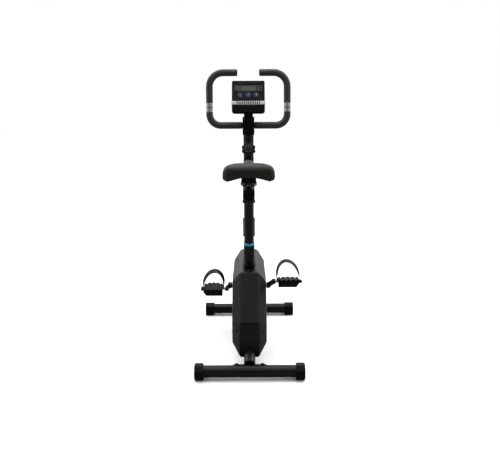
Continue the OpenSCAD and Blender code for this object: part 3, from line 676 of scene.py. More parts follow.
def shroud_half(side):
    """One half of the shroud: a bevelled skin with a wall, cut for the tubes, the crank and the screws."""
    bm = bmesh.new()
    steps_in = ((SEAM, 0), (RIM_HALF, 0), (SIDE_HALF, SIDE_INSET), (SIDE_HALF, SIDE_INSET + PANEL_IN),
                (SIDE_HALF - PANEL_SINK, SIDE_INSET + PANEL_FLOOR_IN))
    outlines = [[(x, y, z) for y, z in (inset_polygon(RIM, d) if d else RIM)] for x, d in steps_in]
    seam, rim, face, _, sunk = loft(bm, outlines, closed=False)
    bm.faces.new(sunk)
    bm.normal_update()
    for edge in bm.edges:
        edge.smooth = False
    wide = [e for e in bm.edges if all(v in rim or v in face for v in e.verts)]
    across = [e for e in bm.edges if any(v in seam for v in e.verts) and any(v in rim for v in e.verts)]
    bmesh.ops.bevel(bm, geom=wide + across, offset=0.007, segments=5, profile=0.5, affect="EDGES",
                    clamp_overlap=True)
    bmesh.ops.dissolve_degenerate(bm, dist=0.00001, edges=bm.edges)
    obj = make_object("shroud_half", bm)
    shell = obj.modifiers.new("wall", "SOLIDIFY")
    shell.thickness = WALL
    shell.offset = -1
    apply_modifiers(obj)
    for name, start, end, r in SHELL_CUTS:
        cut_with(obj, rod_tool(start, end, r), name)
    for y, z, x in SCREWS:
        cut_with(obj, rod_tool((x - 0.001, y, z), (0.09, y, z), 0.0052, 24), "screw")
    if side < 0:
        flip_side(obj)
    return even_shading(obj, 40)


for side, node in ((1, "shroud_right"), (-1, "shroud_left")):
    half = shroud_half(side)
    half.name = node + "_shell"
    settle(half, shroud_abs, node)


def crank_cover(side):
    """The dished cover that clips into the shroud round the crank hub, with twelve ribs."""
    bm = bmesh.new()
    profile = [(0.0185, 0.0716), (0.0195, 0.0752), (0.024, 0.0760), (0.052, 0.0757), (0.0562, 0.0748),
               (0.0578, 0.0728), (0.0578, 0.0712)]
    rings = [[(x, r * math.cos(a), AXLE_Z + r * math.sin(a)) for a in full_turn(96)] for r, x in profile]
    loft(bm, rings, closed=False)
    for k in range(12):
        spoke = leaned((0, 0, AXLE_Z), math.pi * k / 6)
        block(bm, (0.0750, 0.029, -0.0016), (0.0766, 0.048, 0.0016), spoke)
    bmesh.ops.recalc_face_normals(bm, faces=bm.faces)
    obj = make_object(sided("crank_cover", side), bm, Matrix.Diagonal((side, 1, 1, 1)))
    settle(obj, black_nylon, body="frame", slot="black_plastic")


crank_cover(1)
crank_cover(-1)


# ---------------------------------------------------------------- saddle

# Balls under the cover: x, y, z and radius.
SADDLE_LOBES = [(0.075, -0.303, 0.8585, 0.031), (0.090, -0.301, 0.847, 0.0175),
                (0.099, -0.299, 0.830, 0.008), (0.062, -0.270, 0.857, 0.032),
                (0.080, -0.304, 0.842, 0.024)]
CREST = (0, -0.311, 0.857, 0.038)
NOSE_BALLS = [(0, -0.275, 0.857, 0.034), (0, -0.114, 0.854, 0.031)]
SHOULDER_BALLS = [(0.040, -0.262, 0.853, 0.030), (-0.040, -0.262, 0.853, 0.030), (0, -0.190, 0.855, 0.030)]
SEAM_HEIGHT = 0.849
ARCH_Z = 0.844
ARCH_R = 0.150
PAD_SHRINK = 0.001


def swell(obj, pressure, cap):
    """Puffs a padded piece with a short cloth simulation; no point moves further than cap."""
    rest = [v.co.copy() for v in obj.data.vertices]
    cloth = obj.modifiers.new("cloth", "CLOTH")
    cloth.settings.quality = 6
    cloth.settings.mass = 0.4
    cloth.settings.tension_stiffness = 30
    cloth.settings.compression_stiffness = 30
    cloth.settings.shear_stiffness = 20
    cloth.settings.bending_stiffness = 4
    cloth.settings.use_pressure = True
    cloth.settings.uniform_pressure_force = pressure
    cloth.settings.effector_weights.gravity = 0
    scene = bpy.context.scene
    for frame_number in range(1, 21):
        scene.frame_set(frame_number)
    graph = bpy.context.evaluated_depsgraph_get()
    puffed = [v.co.copy() for v in obj.evaluated_get(graph).data.vertices]
    obj.modifiers.clear()
    scene.frame_set(1)
    for vert, before, after in zip(obj.data.vertices, rest, puffed):
        move = after - before
        if move.length > cap:
            move = move.normalized() * cap
        vert.co = before + move


def remesh(obj, size):
    mod = obj.modifiers.new("voxels", "REMESH")
    mod.mode = "VOXEL"
    mod.voxel_size = size
    apply_modifiers(obj)


def relax(obj, factor, times):
    mod = obj.modifiers.new("relax", "SMOOTH")
    mod.factor = factor
    mod.iterations = times
    apply_modifiers(obj)


def ball_hull(balls, shrink):
    bm = bmesh.new()
    for x, y, z, r in balls:
        place = Matrix.Translation((x, y, z))
        bmesh.ops.create_icosphere(bm, subdivisions=3, radius=r - shrink, matrix=place)
    hull = bmesh.ops.convex_hull(bm, input=bm.verts)
    inside = [g for g in hull["geom_interior"] if isinstance(g, bmesh.types.BMVert)]
    bmesh.ops.delete(bm, geom=inside, context="VERTS")
    loose = [v for v in bm.verts if not v.link_faces]
    bmesh.ops.delete(bm, geom=loose, context="VERTS")
    return make_object("hull", bm)


def join_into(target, others):
    bm = bmesh.new()
    for obj in [target] + others:
        bm.from_mesh(obj.data)
    bm.to_mesh(target.data)
    bm.free()
    for obj in others:
        bpy.data.objects.remove(obj)


def seam_path(surface, height, count=220):
    """Points and outward normals round the pad, where its side is at a height."""
    out = []
    for a in full_turn(count):
        way = Vector((math.cos(a), math.sin(a), 0))
        hub = Vector((0, max(-0.30, min(-0.125, -0.235 + 0.11 * math.sin(a))), height))
        hit = surface.ray_cast(hub + way * 0.3, -way)
        if hit[0] is not None:
            out.append((hit[0], hit[1]))
    return out


def press_groove(obj, path, width, depth):
    """Draws the skin in along a seam."""
    tree = KDTree(len(path))
    for i, (point, _) in enumerate(path):
        tree.insert(point, i)
    tree.balance()
    for vert in obj.data.vertices:
        _, i, far = tree.find(vert.co)
        vert.co = vert.co - path[i][1] * depth * math.exp(-(far / width) ** 2)


def stitches(name, path, spacing, length, radius, lift):
    """Short thread stitches along a seam."""
    bm = bmesh.new()
    reach = 0.0
    for (p0, n0), (p1, _) in zip(path, path[1:] + path[:1]):
        step = p1 - p0
        if step.length > 0.02:
            continue
        reach += step.length
        if reach >= spacing:
            reach = 0.0
            along = step.normalized()
            mid = p0 + n0 * lift
            ends = [mid - along * length / 2 - n0 * radius, mid - along * length * 0.3,
                    mid + along * length * 0.3, mid + along * length / 2 - n0 * radius]
            tube(bm, ends, [radius * 0.6, radius, radius, radius * 0.6], 6)
    return make_object(name, bm)


def saddle():
    """The pad: a wide waisted cushion, swollen by simulation, seamed round its side, hollow underneath."""
    wings = []
    for x, y, z, r in SADDLE_LOBES:
        wings += [(x, y, z, r), (-x, y, z, r)]
    pad = ball_hull(wings + [CREST], PAD_SHRINK)
    pad.name = "saddle_cover"
    nose = ball_hull(NOSE_BALLS, PAD_SHRINK)
    shoulder = ball_hull(SHOULDER_BALLS, PAD_SHRINK)
    join_into(pad, [nose, shoulder])
    remesh(pad, 0.004)
    relax(pad, 0.5, 7)
    hollow = rod_tool((0, -0.5, ARCH_Z - ARCH_R), (0, 0.1, ARCH_Z - ARCH_R), ARCH_R, 160)
    cut_with(pad, hollow, "hollow")
    remesh(pad, 0.0042)
    relax(pad, 0.5, 2)
    swell(pad, 4, 0.004)
    relax(pad, 0.5, 3)
    sub = pad.modifiers.new("finer", "SUBSURF")
    sub.levels = sub.render_levels = 1
    apply_modifiers(pad)
    surface = BVHTree.FromObject(pad, bpy.context.evaluated_depsgraph_get())
    path = seam_path(surface, SEAM_HEIGHT)
    press_groove(pad, path, 0.0022, 0.0013)
    for poly in pad.data.polygons:
        poly.use_smooth = True
    settle(pad, saddle_vinyl, "saddle_pad")
    thread = stitches("saddle_stitching", path, 0.0055, 0.0042, 0.00042, 0.0000)
    settle(thread, thread_black, body="saddle", slot="saddle_vinyl")
    saddle_staples(surface)


def saddle_staples(surface):
    """The staples that hold the cover's turned edge under the pad."""
    bm = bmesh.new()
    for side in (-1, 1):
        for k in range(9):
            a = math.radians(200 + 14 * k)
            x = side * (0.050 + 0.036 * math.cos(math.radians(-80 + 20 * k)))
            y = -0.300 + 0.036 * math.sin(math.radians(-80 + 20 * k))
            hit = surface.ray_cast(Vector((x, y, 0.78)), Vector((0, 0, 1)))
            if hit[0] is None:
                continue
            point = hit[0] - Vector((0, 0, 0.0006))
            along = Vector((math.cos(a), math.sin(a), 0)) * 0.005
            tube(bm, [point - along + Vector((0, 0, 0.001)), point - along * 0.9, point + along * 0.9,
                      point + along + Vector((0, 0, 0.001))], [0.0005] * 4, 6)
    obj = make_object("saddle_staples", bm)
    settle(obj, dark_zinc, body="saddle", slot="clamp_steel")


saddle()


# ---------------------------------------------------------------- grips

GRIP_R = 0.0160
BAR_HALF = 0.182
BAR_H = 0.2437
BEND_TOP = 0.064
BEND_LOW = 0.053
SENSOR_LOW = 0.062
SENSOR_HIGH = 0.104
GRIP_START = 0.029


def bar_path():
    """The loop's axis on the right, in the bar's plane, from the lower middle to the top end."""
    pts = [Vector((GRIP_START, 0, 0)), Vector((0.08, 0, 0)), Vector((0.105, 0, 0))]
    for x, z in arc(BAR_HALF - BEND_LOW, BEND_LOW, BEND_LOW, -90, 0, 16):
        pts.append(Vector((x, 0, z)))
    for k in range(1, 13):
        z = BEND_LOW + (BAR_H - BEND_TOP - BEND_LOW) * k / 13
        pts.append(Vector((BAR_HALF, 0, z)))
    for x, z in arc(BAR_HALF - BEND_TOP, BAR_H - BEND_TOP, BEND_TOP, 0, 90, 18):
        pts.append(Vector((x, 0, z)))
    pts += [Vector((0.1, 0, BAR_H)), Vector((0.08, 0, BAR_H)), Vector((0.0545, 0, BAR_H))]
    return pts


def grip_sleeve(bm, pts):
    """A foam sleeve with rounded ends along a stretch of the bar."""
    first = (pts[1] - pts[0]).normalized()
    last = (pts[-1] - pts[-2]).normalized()
    path = [pts[0], pts[0] + first * 0.0004, pts[0] + first * 0.0015, pts[0] + first * 0.004] + pts[1:-1] \
        + [pts[-1] - last * 0.004, pts[-1] - last * 0.0015, pts[-1] - last * 0.0004, pts[-1]]
    radii = [0.0138, 0.0150, 0.0157, GRIP_R] + [GRIP_R] * (len(pts) - 2) + [GRIP_R, 0.0157, 0.0150, 0.0138]
    tube(bm, path, radii, 36)


def grips():
    bm = bmesh.new()
    pts = bar_path()
    low = [p for p in pts if p.z < SENSOR_LOW or p.x < BAR_HALF - 0.001 and p.z < BAR_H / 2]
    low.append(Vector((BAR_HALF, 0, SENSOR_LOW)))
    high = [Vector((BAR_HALF, 0, SENSOR_HIGH))]
    high += [p for p in pts if p.z > SENSOR_HIGH + 0.005]
    grip_sleeve(bm, low)
    grip_sleeve(bm, high)
    copy = bmesh.ops.duplicate(bm, geom=bm.verts[:] + bm.edges[:] + bm.faces[:])
    twins = [g for g in copy["geom"] if isinstance(g, bmesh.types.BMVert)]
    bmesh.ops.scale(bm, vec=(-1, 1, 1), verts=twins)
    bmesh.ops.reverse_faces(bm, faces=[g for g in copy["geom"] if isinstance(g, bmesh.types.BMFace)])
    obj = make_object("foam_grips", bm, BAR_AT, 60)
    settle(obj, grip_foam, "grips")


def end_plugs():
    bm = bmesh.new()
    for side in (-1, 1):
        profile = [(0.0150, 0.0), (0.0150, 0.0012), (0.0142, 0.0024), (0.0125, 0.0030), (0.0070, 0.0031),
                   (0.0062, 0.0024), (0.0040, 0.0024)]
        place = Matrix.Translation((side * 0.054, 0, BAR_H)) @ Matrix.Rotation(-side * math.pi / 2, 4, "Y")
        lathe(bm, profile, 40, place)
    bmesh.ops.recalc_face_normals(bm, faces=bm.faces)
    obj = make_object("bar_plugs", bm, BAR_AT)
    settle(obj, black_nylon, "bar_end_plugs")


def sensors():
    """Two pulse plates a side, split by a black ring."""
    plates, rings = bmesh.new(), bmesh.new()
    for side in (-1, 1):
        axis = Matrix.Translation((side * BAR_HALF, 0, 0))
        for low, high in ((0.0622, 0.0797), (0.0833, 0.1038)):
            lathe(plates, [(0.0129, low), (0.0148, low), (0.0154, low + 0.0008), (0.0154, high - 0.0008),
                           (0.0148, high), (0.0129, high)], 48, axis)
        lathe(rings, [(0.0129, 0.0797), (0.0150, 0.0797), (0.0143, 0.0805), (0.0143, 0.0825),
                      (0.0150, 0.0833), (0.0129, 0.0833)], 48, axis)
    for bm, name, mat, slot in ((plates, "pulse_plates", sensor_steel, "sensor_steel"),
                                (rings, "pulse_rings", black_nylon, "black_plastic")):
        bmesh.ops.recalc_face_normals(bm, faces=bm.faces)
        settle(make_object(name, bm, BAR_AT), mat, "pulse_sensors", slot=slot)


grips()
end_plugs()
sensors()


# ---------------------------------------------------------------- console

CONSOLE_W = 0.154
CONSOLE_H = 0.162
FRONT_T = 0.012
LENS_Y = 0.043
BUTTON_Y = 0.009
BUTTON_X = 0.037
TRIM_Y = -0.033


def console_outline(d):
    """The console's outline, drawn in by d: small corners above, large corners below."""
    x, y = CONSOLE_W / 2 - d, CONSOLE_H / 2 - d
    top, low = 0.009, 0.020
    return arc(x - low, -y + low, low, -90, 0) + arc(x - top, y - top, top, 0, 90) \
        + arc(-x + top, y - top, top, 90, 180) + arc(-x + low, -y + low, low, 180, 270)


def console_body():
    """The front moulding: crowned edge, a sunk display window, and holes for the buttons."""
    bm = bmesh.new()
    layers = ((0.0030, -FRONT_T), (0.0, -FRONT_T), (0.0, -0.0036), (0.0006, -0.0016), (0.0020, -0.0004),
              (0.0040, 0.0))
    loft(bm, [[(x, y, z) for x, y in console_outline(d)] for d, z in layers])
    obj = make_object("console_moulding", bm)
    window = rounded_box(0.112, 0.034, 0.003)
    cut_with(obj, prism_tool(window, -0.004, 0.01, Matrix.Translation((0, LENS_Y, 0))), "window")
    halves = bmesh.new()
    halves.from_mesh(obj.data)
    bmesh.ops.bisect_plane(halves, geom=halves.verts[:] + halves.edges[:] + halves.faces[:],
                           plane_co=(0, TRIM_Y, 0), plane_no=(0, 1, 0))
    halves.to_mesh(obj.data)
    halves.free()
    for x in (-BUTTON_X, 0, BUTTON_X):
        cut_with(obj, rod_tool((x, BUTTON_Y, -0.006), (x, BUTTON_Y, 0.01), 0.0108), "button_hole")
    obj.data.transform(CONSOLE_AT)
    shade(obj, 40)
    settle(obj, film, "console_front")
    obj.data.materials.append(console_gloss)
    flat = CONSOLE_AT.inverted()
    for poly in obj.data.polygons:
        if (flat @ poly.center).y < TRIM_Y:
            poly.material_index = 1


def prisms(outlines, low, high):
    bm = bmesh.new()
    for outline in outlines:
        prism(bm, outline, low, high)
    return bm


def flat_marks(name, shapes, mat, z=0.00012, thick=0.00018):
    """Thin printed shapes raised a hair from the face."""
    bm = prisms(shapes, z, z + thick)
    fit_to("console_front", make_object(name, bm, CONSOLE_AT), mat, "console_plastic")


def bar_mark(x, y, w, h):
    return [(x - w / 2, y - h / 2), (x + w / 2, y - h / 2), (x + w / 2, y + h / 2), (x - w / 2, y + h / 2)]


def ring_marks(x, y, r, w, count=30):
    """A printed ring as a row of quads."""
    out = []
    for i in range(count):
        a0, a1 = 2 * math.pi * i / count, 2 * math.pi * (i + 1) / count
        out.append([(x + q * math.cos(a), y + q * math.sin(a)) for q, a in
                    ((r - w, a0), (r, a0), (r, a1), (r - w, a1))])
    return out


def console_print():
    """Generic label bars either side of the display, hairlines, and printed rings round the buttons."""
    pale, dim, words = [], [], []
    for side in (-1, 1):
        for row in range(3):
            y = LENS_Y + 0.0098 - row * 0.0098
            split = 0.0055 if row == 1 else 0.0080
            words.append(bar_mark(side * (0.0400 + split / 2), y, split, 0.0022))
            words.append(bar_mark(side * (0.0478 + split / 2), y, 0.0135 - split, 0.0022))
            dim.append(bar_mark(side * 0.0605, y, 0.0050, 0.0022))
    for side in (-1, 1):
        pale.append(bar_mark(side * 0.058, BUTTON_Y - 0.0185, 0.014, 0.0005))
    flat_marks("console_labels", dim, ink_dim)
    flat_marks("console_words", words, ink_dim, -0.00085)
    flat_marks("console_lines", pale, ink)
    rings = []
    for x in (-BUTTON_X, 0, BUTTON_X):
        rings += ring_marks(x, BUTTON_Y, 0.0124, 0.0011)
    flat_marks("button_rings", rings, ink)


def display_window():
    """The display behind its window: a sunk bezel, the grey display and unlit segments."""
    bezel = bmesh.new()
    outer, inner = rounded_box(0.1115, 0.0335, 0.0028), rounded_box(0.074, 0.029, 0.0012)
    steps_in = ((outer, -0.0009), (inner, -0.0009), (inner, -0.0030))
    loft(bezel, [[(x, y, z) for x, y in outline] for outline, z in steps_in], closed=False)
    place = CONSOLE_AT @ Matrix.Translation((0, LENS_Y, 0))
    obj = make_object("display_bezel", bezel, place)
    settle(obj, bezel_film, "console_lens")
    glass = bmesh.new()
    prism(glass, rounded_box(0.0745, 0.0295, 0.0014), -0.0038, -0.0024)
    screen = make_object("display_screen", glass, place)
    settle(round_edges(screen, 0.0003, 2), display, "lcd_panel")
    marks = []
    for k in range(4):
        x = -0.0165 + k * 0.011
        for dy in (-0.0058, 0, 0.0058):
            marks.append(bar_mark(x, dy, 0.0056, 0.0009))
        for dx in (-0.0035, 0.0035):
            for dy in (-0.0029, 0.0029):
                marks.append(bar_mark(x + dx, dy, 0.0009, 0.0044))
    for k in range(6):
        marks.append(bar_mark(-0.030 + k * 0.012, 0.0115, 0.007, 0.0008))
    segments = make_object("display_segments", prisms(marks, -0.00238, -0.00228), place)
    fit_to("lcd_panel", segments, segment_grey)


def console_button(node, x, icon):
    """A domed rubber button with a raised generic icon."""
    bm = bmesh.new()
    profile = [(0.0103, -0.0045), (0.0103, 0.0006), (0.0099, 0.0011), (0.0088, 0.0012), (0.0080, 0.0008),
               (0.0060, 0.00062), (0.0030, 0.00055), (0.0012, 0.0005)]
    lathe(bm, profile, 48)
    place = CONSOLE_AT @ Matrix.Translation((x, BUTTON_Y, 0))
    settle(make_object(node + "_cap", bm, place), button_rubber, node)
    mark = make_object(node + "_icon", prisms(icon, 0.00065, 0.00095), place)
    fit_to(node, mark, bright_ink)


def console_trim():
    """The ribbed silver strip: a rounded bar with cross grooves."""
    bm = bmesh.new()
    half_w, half_h, high = 0.0785, 0.0095, 0.0022
    xs = [-half_w]
    grooves = [k * 0.0086 for k in range(-6, 7)]
    for g in grooves:
        xs += [g - 0.0024, g - 0.0018, g + 0.0018, g + 0.0024]
    xs.append(half_w)
    section = [(-half_h, 0.0), (-half_h, high * 0.5), (-half_h + 0.0012, high * 0.88),
               (-half_h + 0.003, high), (half_h - 0.003, high), (half_h - 0.0012, high * 0.88),
               (half_h, high * 0.5), (half_h, 0.0)]
    rows = []
    for k, x in enumerate(xs):
        in_groove = any(abs(x - g) < 0.0019 for g in grooves)
        row = []
        for y, z in section:
            depth = 0.0011 if in_groove and z > high * 0.6 else 0
            row.append(bm.verts.new((x, y, 0.00002 + z - depth)))
        rows.append(row)
    for a, b in zip(rows, rows[1:]):
        for i in range(len(section) - 1):
            bm.faces.new((a[i], b[i], b[i + 1], a[i + 1]))
    for row in (rows[0], list(reversed(rows[-1]))):
        bm.faces.new(row)
    bmesh.ops.recalc_face_normals(bm, faces=bm.faces)
    place = CONSOLE_AT @ Matrix.Translation((0, TRIM_Y, 0))
    obj = make_object("console_strip", bm, place, 50)
    settle(round_edges(obj, 0.0003, 2, 40), trim_silver, "console_trim")
    bars = bmesh.new()
    for g in grooves:
        block(bars, (g - 0.0018, -half_h + 0.0014, 0.0010), (g + 0.0018, half_h - 0.0014, 0.00125))
    dark = make_object("console_strip_grooves", bars, place)
    fit_to("console_trim", dark, console_abs, "console_plastic")


def console_tabs():
    """The two raised pads at the console's upper corners and the lip between them."""
    bm = bmesh.new()
    for side in (-1, 1):
        outline = [(x + side * 0.0655, y + 0.0755) for x, y in rounded_box(0.0175, 0.0078, 0.003)]
        prism(bm, outline, -0.0005, 0.0012)
    lip = [(x, y + 0.0778) for x, y in rounded_box(0.112, 0.0030, 0.0014)]
    prism(bm, lip, -0.0005, 0.0006)
    obj = make_object("console_shoulders", bm, CONSOLE_AT)
    round_edges(obj, 0.0004, 2)
    fit_to("console_front", obj, console_abs, "console_plastic")


console_body()
console_print()
display_window()
console_trim()
console_tabs()
TRIANGLE = [(-0.0022, -0.0026), (0.0030, 0.0), (-0.0022, 0.0026)]
console_button("button_left", -BUTTON_X, [TRIANGLE])
POWER = ring_marks(0, 0, 0.0034, 0.0009, 20) + [bar_mark(0, 0.0012, 0.0008, 0.0026)]
console_button("button_middle", 0, POWER)
console_button("button_right", BUTTON_X, [bar_mark(0, 0, 0.0052, 0.0052)])


# ---------------------------------------------------------------- knobs

def lobed_ring(lobes, r_out, r_in, z, steps):
    """A ring of points whose radius waves between r_in and r_out."""
    out = []
    for a in full_turn(steps):
        wave = 0.5 + 0.5 * math.cos(lobes * a)
        r = r_in + (r_out - r_in) * wave ** 0.7
        out.append(Vector((r * math.cos(a), r * math.sin(a), z)))
    return out


def lobed_knob(layers, lobes, steps=160):
    """Lofts layers of (outer radius, inner radius, height) into a lobed knob."""
    bm = bmesh.new()
    loft(bm, [lobed_ring(lobes, r_out, r_in, z, steps) for r_out, r_in, z in layers])
    return bm


def tension_dial():
    """The dial: eight lobes, a raised centre, and printed marks."""
    layers = [(0.030, 0.026, 0.0003), (0.0330, 0.0280, 0.0018), (0.0340, 0.0285, 0.0045),
              (0.0340, 0.0285, 0.0095), (0.0332, 0.0280, 0.0118), (0.0310, 0.0268, 0.0130),
              (0.0255, 0.0250, 0.0128), (0.0228, 0.0228, 0.0124), (0.0215, 0.0215, 0.0130),
              (0.0210, 0.0210, 0.0152), (0.0200, 0.0200, 0.0160), (0.0160, 0.0160, 0.0160),
              (0.0156, 0.0156, 0.0152), (0.0040, 0.0040, 0.0149)]
    half_lobe = Matrix.Rotation(math.radians(22.5), 4, "Z")
    obj = make_object("dial_body", lobed_knob(layers, 8), KNOB_AT @ half_lobe, 50)
    settle(obj, knob_nylon, "tension_knob")
    marks = bmesh.new()
    for k in range(9):
        inner = 0.0165 if k % 2 == 0 else 0.0178
        spoke = Matrix.Rotation(math.radians(-120 + 30 * k), 4, "Z")
        block(marks, (-0.0005, inner, 0.01600), (0.0005, 0.0198, 0.01622), spoke)
    for outline in ring_marks(0, 0, 0.0152, 0.0007, 48):
        prism(marks, outline, 0.0152, 0.0156)
    prism(marks, [(-0.0022, 0.0070), (0.0022, 0.0070), (0, 0.0125)], 0.0149, 0.0154)
    fit_to("tension_knob", make_object("dial_marks", marks, KNOB_AT), ink)


def slide_knob():
    """The knob under the slide, eight lobed."""
    layers = [(0.0120, 0.0120, -0.0230), (0.0160, 0.0160, -0.0226), (0.0185, 0.0180, -0.0212),
              (0.0215, 0.0195, -0.0190), (0.0248, 0.0210, -0.0172), (0.0263, 0.0218, -0.0145),
              (0.0265, 0.0220, -0.0090), (0.0262, 0.0218, -0.0052), (0.0246, 0.0212, -0.0034),
              (0.0200, 0.0195, -0.0030), (0.0120, 0.0120, -0.0012), (0.0040, 0.0040, -0.0006)]
    obj = make_object("slide_knob_body", lobed_knob(layers, 8), Matrix.Translation((0, -0.257, 0.7436)), 50)
    settle(obj, knob_nylon, "slide_lock_knob")


def pin_knob():
    """The pull pin: a six lobed mushroom knob on a plated shank."""
    place = SEAT_AT @ Matrix.Translation((0, 0, 0.070)) @ Matrix.Rotation(-math.pi / 2, 4, "X")
    layers = [(0.0110, 0.0105, 0.0400), (0.0150, 0.0135, 0.0412), (0.0178, 0.0160, 0.0445),
              (0.0189, 0.0170, 0.0500), (0.0189, 0.0170, 0.0565), (0.0180, 0.0162, 0.0598),
              (0.0150, 0.0142, 0.0615), (0.0080, 0.0080, 0.0620)]
    obj = make_object("pin_knob_body", lobed_knob(layers, 6, 120), place, 50)
    settle(obj, knob_nylon, "seat_lock_knob")
    shank = bmesh.new()
    lathe(shank, [(0.0050, 0.0206), (0.0060, 0.0212), (0.0060, 0.0405), (0.0050, 0.0408)], 32)
    fit_to("seat_lock_knob", make_object("pin_shank", shank, place), zinc, "plated_steel")


def knob_bracket():
    """The dial's housing: a wedge between the mast and the dial."""
    bm = bmesh.new()
    for a in full_turn(48):
        for r, z in ((0.0248, -0.0002), (0.0252, -0.0020), (0.0250, -0.0040)):
            bm.verts.new(KNOB_AT @ Vector((r * math.cos(a), r * math.sin(a), z)))
    for s in (-0.150, -0.147, -0.079, -0.076):
        inner = 0.0022 if s in (-0.150, -0.076) else 0.0
        for x, y in rounded_box(0.044 - inner * 2, 0.010, 0.0045, 4):
            bm.verts.new(MAST_AT @ Vector((x, y - 0.019, s)))
    hull = bmesh.ops.convex_hull(bm, input=bm.verts)
    inside = [g for g in hull["geom_interior"] if isinstance(g, bmesh.types.BMVert)]
    bmesh.ops.delete(bm, geom=inside, context="VERTS")
    bmesh.ops.dissolve_limit(bm, angle_limit=math.radians(2), verts=bm.verts, edges=bm.edges)
    obj = make_object("dial_housing", bm)
    bore = rod_tool(MAST_AT @ Vector((0, 0, -0.3)), MAST_AT @ Vector((0, 0, 0.1)), 0.02402, 64)
    cut_with(obj, bore, "mast")
    round_edges(obj, 0.0012, 3)
    settle(obj, black_nylon, "knob_housing")


tension_dial()
slide_knob()
pin_knob()
knob_bracket()


# ---------------------------------------------------------------- pedals and straps

PEDAL_IN = 0.128
PEDAL_OUT = 0.220
PEDAL_TOP = 0.014
PEDAL_DROP = 0.019
TREAD_GROOVES = (0.142, 0.163, 0.184, 0.205)
STUD_COLUMNS = (0.1335, 0.1525, 0.1735, 0.1945, 0.2135)
WELLS = (((0.138, -0.040, -0.030), (0.170, -0.006, -0.006)),
         ((0.176, -0.040, -0.030), (0.204, -0.006, -0.006)),
         ((0.138, 0.008, -0.030), (0.204, 0.034, -0.006)))


def pedal_plan():
    """The tread's outline: square heel, rounded toe."""
    toe = arc((PEDAL_IN + PEDAL_OUT) / 2, -0.015, 0.060, 42, 138, 12)
    return [(PEDAL_IN, -0.045), (PEDAL_OUT, -0.045)] + [(min(x, PEDAL_OUT), y) for x, y in toe]


def pedal_body(name, side):
    """The body: tread grooves above, wells below, a sloped outer edge and the spindle's bore."""
    upright = Matrix.Rotation(math.pi / 2, 4, "X")
    bm = bmesh.new()
    prism(bm, pedal_plan(), -PEDAL_DROP, PEDAL_TOP)
    obj = make_object(name + "_body", bm)
    slope = [(PEDAL_OUT - 0.014, -0.0195), (PEDAL_OUT + 0.006, -0.0195), (PEDAL_OUT + 0.006, 0.0065)]
    cut_with(obj, prism_tool(slope, -0.1, 0.1, upright), "slope")
    for x in TREAD_GROOVES:
        groove = [(x - 0.0020, 0.0098), (x + 0.0020, 0.0098), (x + 0.0036, 0.0150), (x - 0.0036, 0.0150)]
        cut_with(obj, prism_tool(groove, -0.1, 0.1, upright), "tread")
    for low, high in WELLS:
        well = bmesh.new()
        block(well, low, high)
        cut_with(obj, make_object("tool", well), "well")
    cut_with(obj, rod_tool((0.1, 0, 0), (PEDAL_OUT - 0.008, 0, 0), 0.00605, 32), "bore")
    obj.data.transform(pedal_matrix(side))
    if side < 0:
        obj.data.flip_normals()
    return round_edges(obj, 0.0011, 3)


def pedal(side):
    """A pedal: its body, the strap's lugs, the tread's studs and a reflector at the heel."""
    name = sided("pedal", side)
    place = pedal_matrix(side)
    obj = pedal_body(name, side)
    lugs = bmesh.new()
    block(lugs, (PEDAL_IN - 0.007, -0.015, 0.008), (PEDAL_IN + 0.001, 0.015, PEDAL_TOP))
    block(lugs, (PEDAL_OUT - 0.001, -0.015, -0.006), (PEDAL_OUT + 0.014, 0.015, 0.006))
    lug = round_edges(make_object(name + "_lugs", lugs, place), 0.0012, 3)
    grip = bmesh.new()
    for x in STUD_COLUMNS:
        for k in range(9):
            y = -0.038 + 0.0095 * k
            if abs(x - 0.174) > 0.034 and y > 0.030:
                continue
            low = (x - 0.0032, y - 0.0013, PEDAL_TOP - 0.0006)
            block(grip, low, (x + 0.0032, y + 0.0013, PEDAL_TOP + 0.0007))
    studs = make_object(name + "_grip", grip, place)
    lens = bmesh.new()
    block(lens, (0.146, -0.0456, -0.013), (0.202, -0.0448, -0.003))
    reflector = round_edges(make_object(name + "_reflector", lens, place), 0.0003, 2)
    settle(obj, pedal_nylon, name)
    fit_to(name, lug, pedal_nylon)
    fit_to(name, studs, pedal_nylon)
    fit_to(name, reflector, reflector_smoke)


def strap_curve(t):
    """The strap's middle line in the pedal's x and z, t from 0 at the inner end to 180."""
    a = math.radians(t)
    r = 0.0509
    x = 0.174 - r * math.cos(a) - 0.009 * math.sin(a)
    return Vector((x, 0, (r + 0.041) * max(math.sin(a), 0) ** 0.8))


def strap_frame(t):
    """The middle line's point at t, the way it runs there, and the way out of the arch."""
    ahead = (strap_curve(t + 1) - strap_curve(t - 1)).normalized()
    return strap_curve(t), ahead, Vector((-ahead.z, 0, ahead.x))


